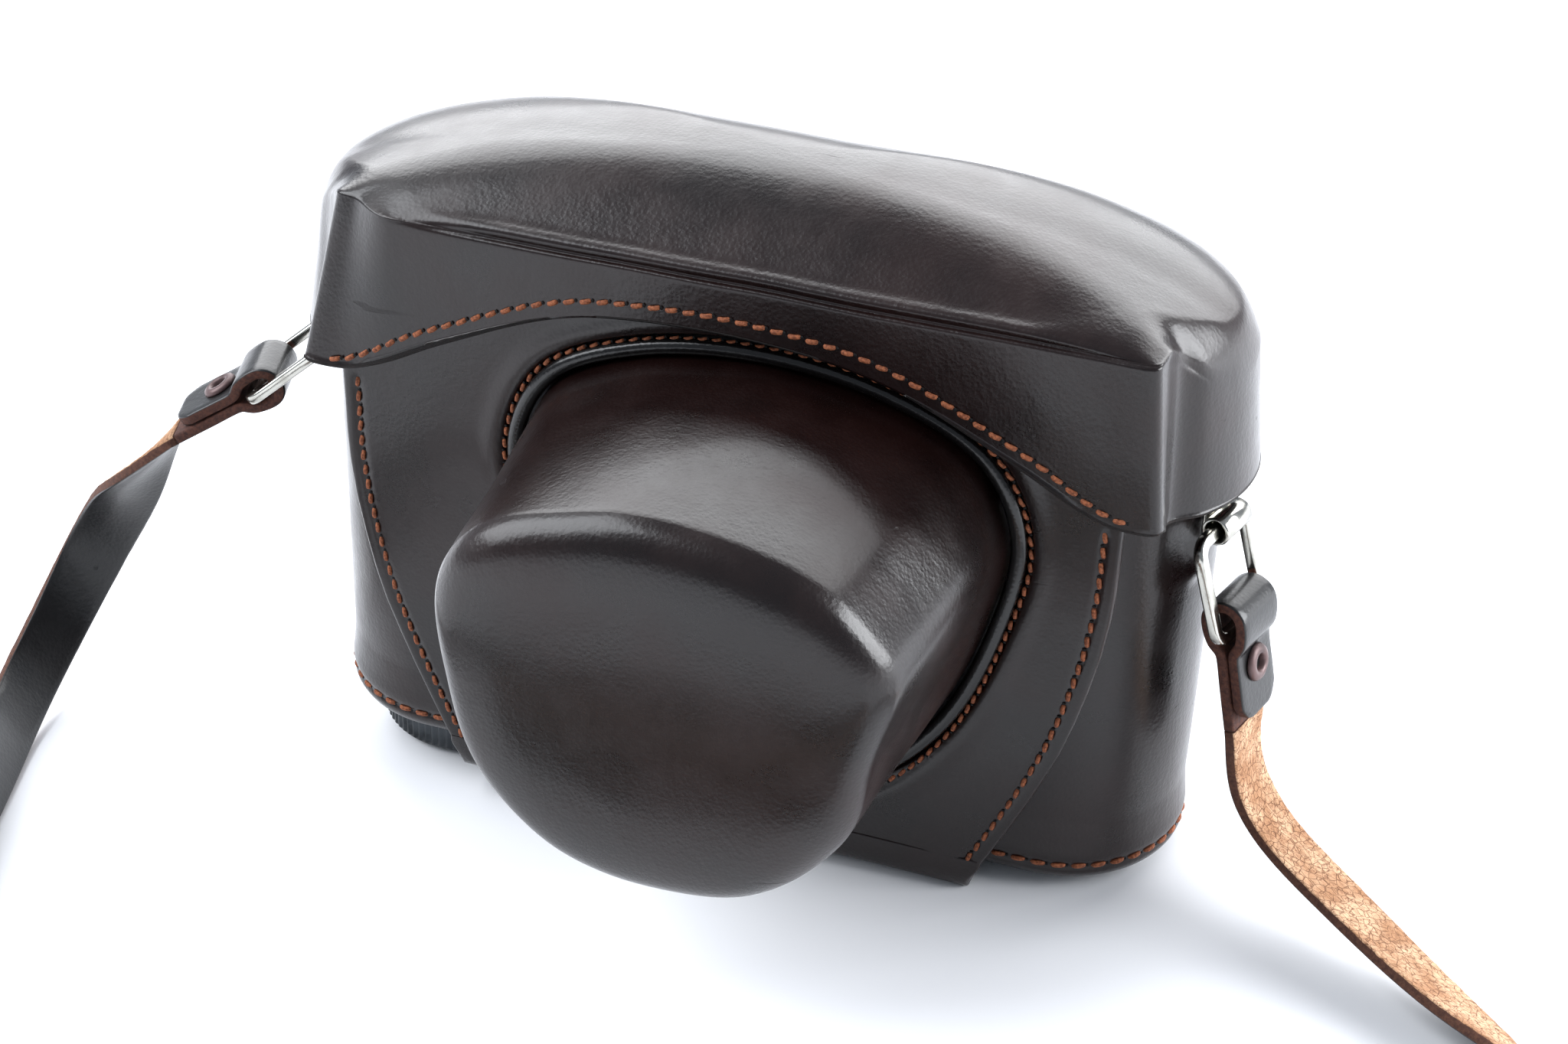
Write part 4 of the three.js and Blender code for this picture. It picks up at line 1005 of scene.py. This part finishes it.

# %% [markdown]
# ## Stitching
# Hand saddle stitch: each stitch is a short piece of thick thread, a little slanted, whose ends go down
# into needle holes. All stitches of one seam are one mesh. The holes are not cut: each is a small
# near-black disc just over the leather, painted shade for the dark inside of the hole.


# %% One seam
ARCH_HIGH, HOLE_WIDE = 0.3, 2.2
ROUND = np.linspace(0, 2 * math.pi, 8, endpoint=False)


def seam(name, line, normals, pitch, radius, slant):
    """Stitches along a line on a surface; normals look out of the leather."""
    run = np.r_[0, np.cumsum(np.linalg.norm(np.diff(line, axis=0), axis=1))]
    count = int(round(run[-1] / pitch))
    verts, faces, which = [], [], []
    for k in range(count):
        s = (k + 0.5) * run[-1] / count
        at = lambda q, table: np.array([np.interp(q, run, table[:, j]) for j in range(3)])
        n = unit(at(s, normals))
        t = unit(at(min(s + 0.2, run[-1]), line) - at(max(s - 0.2, 0), line))
        tilt = math.radians(slant + 4 * noise.noise(Vector((k * 1.7, 2.1, 0))))
        t = unit(t * math.cos(tilt) + np.cross(n, t) * math.sin(tilt))
        side = np.cross(n, t)
        long = pitch * (0.79 + 0.05 * noise.noise(Vector((k * 2.3, 0, 5.0)))) / 2
        start = len(verts)
        for e in np.linspace(-1, 1, 9):
            thick = radius * math.sqrt(max(0.02, 1 - abs(e) ** 5))
            mid = at(s, line) + t * long * e + n * (ARCH_HIGH * (1 - e * e) - 0.12)
            verts += [mid + thick * (1.15 * math.cos(q) * side + math.sin(q) * n) for q in ROUND]
        faces += (ring_faces(9, 8) + start).tolist()
        faces += [list(range(start, start + 8)), list(range(start + 64, start + 72))]
        which += [0] * 66
        start = len(verts)
        # Each needle hole is a near-black disc set just over the leather: painted shade for the hole's dark
        # inside.
        hole = at(s, line) + t * (long + 0.12)
        for lift, wide in ((0.14, 0.42), (0.2, 0.28)):
            wide *= radius * HOLE_WIDE
            verts += [hole + wide * (math.cos(q) * side + 0.8 * math.sin(q) * t) + n * lift for q in ROUND]
        faces += (ring_faces(2, 8) + start).tolist()
        faces += [list(range(start, start + 8)), list(range(start + 8, start + 16))]
        which += [1] * 10
    return face_out(piece(name, verts, faces, [THREAD, NEEDLE_HOLE_SHADE], which))


def on_front(xz, y):
    return np.insert(np.asarray(xz, float), 1, y, axis=1)


print("threads from", THREAD.name, "and holes from", NEEDLE_HOLE_SHADE.name)

# %% All seams
front_way = np.array([0.0, -1.0, 0.0])
loop = outline_at(SEAM, 0, 600)
loop = on_front(np.vstack([loop, loop[:1]]), FLAP_OUT + 0.32)
work = [("nose_seam_thread", loop, 2.25, 0.3, 12)]
z = np.linspace(3.6, 71, 160)
for word, side in (("left", -1), ("right", 1)):
    line = on_front(np.stack([side * (edge_x(z) - 2.6), z], 1), FLAP_OUT + 0.34)
    work.append(("flap_thread_" + word, line, 2.75, 0.33, 10 * side))
x = np.linspace(-64, 64, 300)
above = 3 - 1.1 * smooth(50, 63, np.abs(x))
line = on_front(np.stack([x, arch(x) + above], 1), COVER_FRONT_Y + 0.02)
work.append(("cover_seam_thread", line, 2.75, 0.36, 10))
for name, line, pitch, radius, slant in work:
    obj = seam(name + "_look", line, np.broadcast_to(front_way, line.shape), pitch, radius, slant)
    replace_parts(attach(obj, "front"), name)
ring = stadium(0.25)
ring = np.vstack([ring, ring[:1]])
over = np.sign(ring[:, 0]) * np.maximum(np.abs(ring[:, 0]) - END_X, 0)
out = np.stack([over, ring[:, 1], 0 * over], 1)
base_line = np.column_stack([ring, np.full(len(ring), SEAM_Z)])
obj = seam("base_seam_thread_look", base_line, out / np.linalg.norm(out, axis=1)[:, None], 3.3, 0.36, 5)
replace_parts(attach(obj, "half_case"), "base_seam_thread")
print("seams made:", len(work) + 1)

# %% [markdown]
# ## Metal and strap ends
# The strap ring is a flat strip with rounded corners. It hangs in a rolled hanger, and the strap's end is
# folded round its lower bar and held by a tubular rivet.


# %% Sweeps and turned pieces
def frame_sweep(name, path, origin, u, v, w, section, finishes, kinds=None, closed=True, widths=None):
    """Sweep a section of (a, b) along a path of (u, v) points; a is along w, b is across the path."""
    path = np.asarray(path, float)
    ways = np.roll(path, -1, axis=0) - np.roll(path, 1, axis=0) if closed else np.gradient(path, axis=0)
    rings = []
    for i, (p, t) in enumerate(zip(path, ways)):
        t = unit(t)
        over = np.array([-t[1], t[0]])
        wide = 1.0 if widths is None else widths[i]
        rings.append([origin + u * (p[0] + over[0] * b) + v * (p[1] + over[1] * b) + w * a * wide
                      for a, b in section])
    count = len(section)
    faces = [list(f) for f in ring_faces(len(rings), count, True, closed)]
    bands = len(rings) if closed else len(rings) - 1
    which = np.tile(np.zeros(count, int) if kinds is None else kinds, bands).tolist()
    if not closed:
        faces += [list(range(count)), list(range((len(rings) - 1) * count, len(rings) * count))]
        which += [max(which)] * 2
    return face_out(piece(name, np.concatenate(rings), faces, finishes, which))


def rounded_box(half_u, v0, v1, r, steps=7, straight=6):
    """Outline of a box with rounded corners, anticlockwise, with points along its straight sides too."""
    pts = []
    u = half_u - r
    corners = [(u, v1 - r, 0), (-u, v1 - r, 90), (-u, v0 + r, 180), (u, v0 + r, 270)]
    for k, (x, y, a) in enumerate(corners):
        arc = [(x + r * math.cos(q), y + r * math.sin(q)) for q in np.radians(np.linspace(a, a + 90, steps))]
        nx, ny, na = corners[(k + 1) % 4]
        na = math.radians(na)
        end, start = np.array(arc[-1]), np.array([nx + r * math.cos(na), ny + r * math.sin(na)])
        pts += arc + [tuple(end + (start - end) * s) for s in np.linspace(0, 1, straight)[1:-1]]
    return pts


def lathe(name, origin, axis, profile, finish, sides, knurl=None, closed=False):
    """A turned piece; profile is (radius, height) along the axis, knurl cuts teeth into chosen rows."""
    axis = unit(axis)
    u = unit(np.cross(axis, [0.31, 0.2, 0.93]))
    v = np.cross(axis, u)
    q = np.linspace(0, 2 * math.pi, sides, endpoint=False)
    rings = []
    for j, (r, h) in enumerate(profile):
        cut = knurl[j] * (np.arange(sides) % 4 < 2) if knurl else 0
        rr = (r - cut) * np.ones(sides)
        rings.append(origin + axis * h + (rr * np.cos(q))[:, None] * u + (rr * np.sin(q))[:, None] * v)
    return skin(name, rings, [finish], caps=not closed, closed_rows=closed)


print("points in a rounded box:", len(rounded_box(5, 0, 10, 2)))

# %% Rings, hangers, folds and eyelets
FOLD_R, EYELET_DOWN = 2.9, 8.7
for word, side in (("left", -1), ("right", 1)):
    body = "swivel_" + word
    axis, fall, normal, mid = ring_frame(side)
    bar = RING["bar"]
    path = rounded_box(RING["gap"] / 2 + bar / 2, 0, RING["tall"], 2.3)
    section = rounded_box(bar * 0.43, -bar / 2, bar / 2, 0.42, 4, 3)
    ring = frame_sweep("ring_%s_look" % word, path, mid, axis, fall, normal, section, [NICKEL])
    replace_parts(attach(ring, body), "ring_" + word)

    _, out, hang = hanger_frame(side)
    half = RING["barrel"] / 2
    roll = [(1.65, -half + 0.2), (1.85, -half), (2.15, -half), (2.35, -half + 0.25), (2.35, 0),
            (2.35, half - 0.25), (2.15, half), (1.85, half), (1.65, half - 0.2), (1.65, 0)]
    barrel = lathe("hanger_%s_look" % word, hang, axis, roll, NICKEL, 48, closed=True)
    leaf_path = [(-2.0, h) for h in (-1.2, 1.0, 3.2, 5.8)]
    leaf_section = rounded_box(half, -0.33, 0.33, 0.25, 3, 3)
    leaf = frame_sweep("leaf_" + word, leaf_path, hang, out, np.array([0.0, 0, 1]), axis, leaf_section,
                       [NICKEL], closed=False)
    for obj in (barrel, leaf):
        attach(obj, "half_case")
    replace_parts(barrel, "hanger_" + word)

    axis, d, n, top = strap_frame(side)
    near = STRAP_T / 2 + GAP / 2
    leg = [(near + 1.35, 3.4), (near + 0.2, 5.1), (near, 5.9), (near, 11.5)]
    over = [(FOLD_R * math.cos(a), -FOLD_R * math.sin(a)) for a in np.linspace(math.pi, 0, 7)]
    tail = [(near, h) for h in (13.6, 15.7, 17)]
    line, _, long = even([(-near, 18.6)] + [(-p, q) for p, q in leg[::-1]] + over + leg + tail, 120)
    left_over = long * (1 - np.linspace(0, 1, 120))
    widths = np.minimum(1, 0.52 + 0.48 * np.sqrt(np.clip(left_over / 2.6, 0, 1)))
    section = strap_section(STRAP_W, STRAP_T)
    mids = (section + np.roll(section, -1, axis=0)) / 2
    kinds = np.where(mids[:, 1] < -0.75, 0, 1)
    fold = frame_sweep("strap_fold_%s_look" % word, line, top, n, d, axis, section,
                       [STRAP_GRAIN, FOLD_EDGE], kinds, closed=False, widths=widths)
    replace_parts(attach(fold, body), "strap_fold_" + word)
    face, far = STRAP_T + GAP / 2, STRAP_T + GAP / 2 + 0.95
    half_rivet = [(1.3, far - 0.35), (1.6, far), (2.2, far + 0.05), (2.8, far - 0.25), (3.05, face + 0.2),
                  (2.9, face), (1.7, face)]
    rivet_profile = [(1.25, 0)] + half_rivet + [(1.7, 0)] + [(r, -h) for r, h in half_rivet[::-1]]
    rivet = lathe("eyelet_%s_look" % word, top + d * EYELET_DOWN, n, rivet_profile, EYELET, 40, closed=True)
    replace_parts(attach(rivet, body), "eyelet_" + word)
print("strap ends done")

# %% [markdown]
# ## Screw knob and closure
# The case is held to the camera by a screw with a wide knurled knob, and shut by a tab with a press stud.
# Turned pieces are profiles spun round an axis, and the knurl is real teeth, since it is seen from the
# side. The tab is sewn below and lifts above; it is one swept piece, baked into place like the bend.

# %% Screw knob and the back closure
knob_profile = [(0.6, -KNOB_T + 0.6), (9, -KNOB_T + 0.6), (9.6, -KNOB_T), (KNOB_FOOT - 0.3, -KNOB_T),
                (KNOB_FOOT + 0.3, -KNOB_T + 0.2), (KNOB_R, -KNOB_T + 0.9), (KNOB_R, -1.1),
                (KNOB_FOOT, -0.45), (8, -0.42), (0.6, -0.42)]
teeth = [0.4 if r == KNOB_R else 0 for r, _ in knob_profile]
knob = lathe("screw_knob_look", np.array([-END_X, 0, 0]), [0, 0, 1], knob_profile, KNOB, 288, teeth)
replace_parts(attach(knob, "tripod_screw"), "screw_knob")

STUD_Z = 80.0
tab_line = [(21.75, 44), (21.75, 52), (21.75, 60), (22.2, 64.6), (24.6, 67.6), (26.4, 70.6), (26.5, 78),
            (26.5, 88)]
line, _, long = even(tab_line, 90)
gone = long * (1 - np.linspace(0, 1, 90))
widths = np.minimum(1, 0.4 + 0.6 * np.sqrt(np.clip(gone / 7, 0, 1)))
across, y_way, z_way = np.eye(3)
tab = frame_sweep("closure_tab_look", line, np.zeros(3), y_way, z_way, across, strap_section(16, 2.0),
                  [LEATHER_DARK, DARK_EDGE], None, closed=False, widths=widths)
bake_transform(tab)
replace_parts(tab, "closure_tab", "tab_foot")
cap_profile = [(0.5, 3.6), (2.2, 3.55), (4.0, 3.2), (5.1, 2.5), (5.4, 1.9), (5.3, 1.45), (0.5, 1.4)]
cap_at = np.array([0, COVER_R + 1.1, STUD_Z])
cap = lathe("closure_stud_cap_look", cap_at, [0, 1, 0], cap_profile, NICKEL, 48)
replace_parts(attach(cap, "closure"), "closure_stud_cap")
post_profile = [(0.4, 0), (3.4, 0), (3.6, 0.35), (2.1, 0.5), (2.3, 1.4), (1.6, 1.8), (0.4, 1.85)]
post_at = np.array([0, COVER_R, STUD_Z])
post = lathe("closure_stud_post_look", post_at, [0, 1, 0], post_profile, NICKEL, 40)
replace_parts(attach(post, "front"), "closure_stud_post")
print("knob, tab and stud made:", knob.name, tab.name, cap.name, post.name)

# %% [markdown]
# ## Plain pieces
# The sole, the pad, the screw and the rivets lie under or inside the case. Their solids are already the
# right shape, so they only get a finish.

# %% Finishes of the plain pieces
for name, finish in (("base_sole", LEATHER_DARK), ("base_pad", VELVET), ("screw_bush", BRASS),
                     ("screw_shaft", NICKEL), ("tongue_stud_left", NICKEL), ("tongue_stud_right", NICKEL)):
    mesh = bpy.data.objects[name].data
    mesh.materials.clear()
    mesh.materials.append(finish)
print("plain pieces finished")

# %% [markdown]
# ## Table and light
# A wide pale surface, lit by one very large soft light behind and above, as beside a window. The front of
# the case stays dark and its shadow falls towards the viewer.

# %% Table
finish = Finish("pale_table", Roughness=0.75, Specular_IOR_Level=0.1)
finish.feed("Base Color", finish.blend(finish.noise(1.5, 2), (0.86, 0.87, 0.9), (0.9, 0.9, 0.91)))
floor_mesh = bpy.data.meshes.new("table")
floor_mesh.from_pydata([(-4, -4, 0), (4, -4, 0), (4, 4, 0), (-4, 4, 0)], [], [(0, 1, 2, 3)])
floor_mesh.materials.append(finish.material)
floor = bpy.data.objects.new("table", floor_mesh)
bpy.context.collection.objects.link(floor)
print("table corners:", len(floor_mesh.vertices))


# %% Lights
def area(name, at, aim, width, height, power, colour):
    """A rectangular light at one place in metres, aimed at another, with its power in watts."""
    data = bpy.data.lights.new(name, "AREA")
    data.shape, data.size, data.size_y, data.energy, data.color = "RECTANGLE", width, height, power, colour
    obj = bpy.data.objects.new(name, data)
    obj.location = at
    obj.rotation_euler = (Vector(at) - Vector(aim)).to_track_quat("Z", "Y").to_euler()
    bpy.context.collection.objects.link(obj)
    return obj


key = area("window", (-0.15, 1.25, 0.85), (0, 0, 0.05), 2.4, 1.2, 43, (0.98, 0.985, 1.0))
left_light = area("left", (-0.95, -0.25, 1.05), (0, 0, 0.05), 1.1, 1.3, 31, (0.93, 0.96, 1.0))
right_light = area("right", (1.2, 0.25, 0.5), (0, 0, 0.05), 0.9, 0.8, 31, (0.95, 0.97, 1.0))
world = bpy.data.worlds.new("soft_room")
bpy.context.scene.world = world
world.use_nodes = True
world.node_tree.nodes["Background"].inputs["Color"].default_value = (0.8, 0.88, 1.0, 1)
world.node_tree.nodes["Background"].inputs["Strength"].default_value = 0.42
bpy.context.scene.view_settings.view_transform = "Standard"
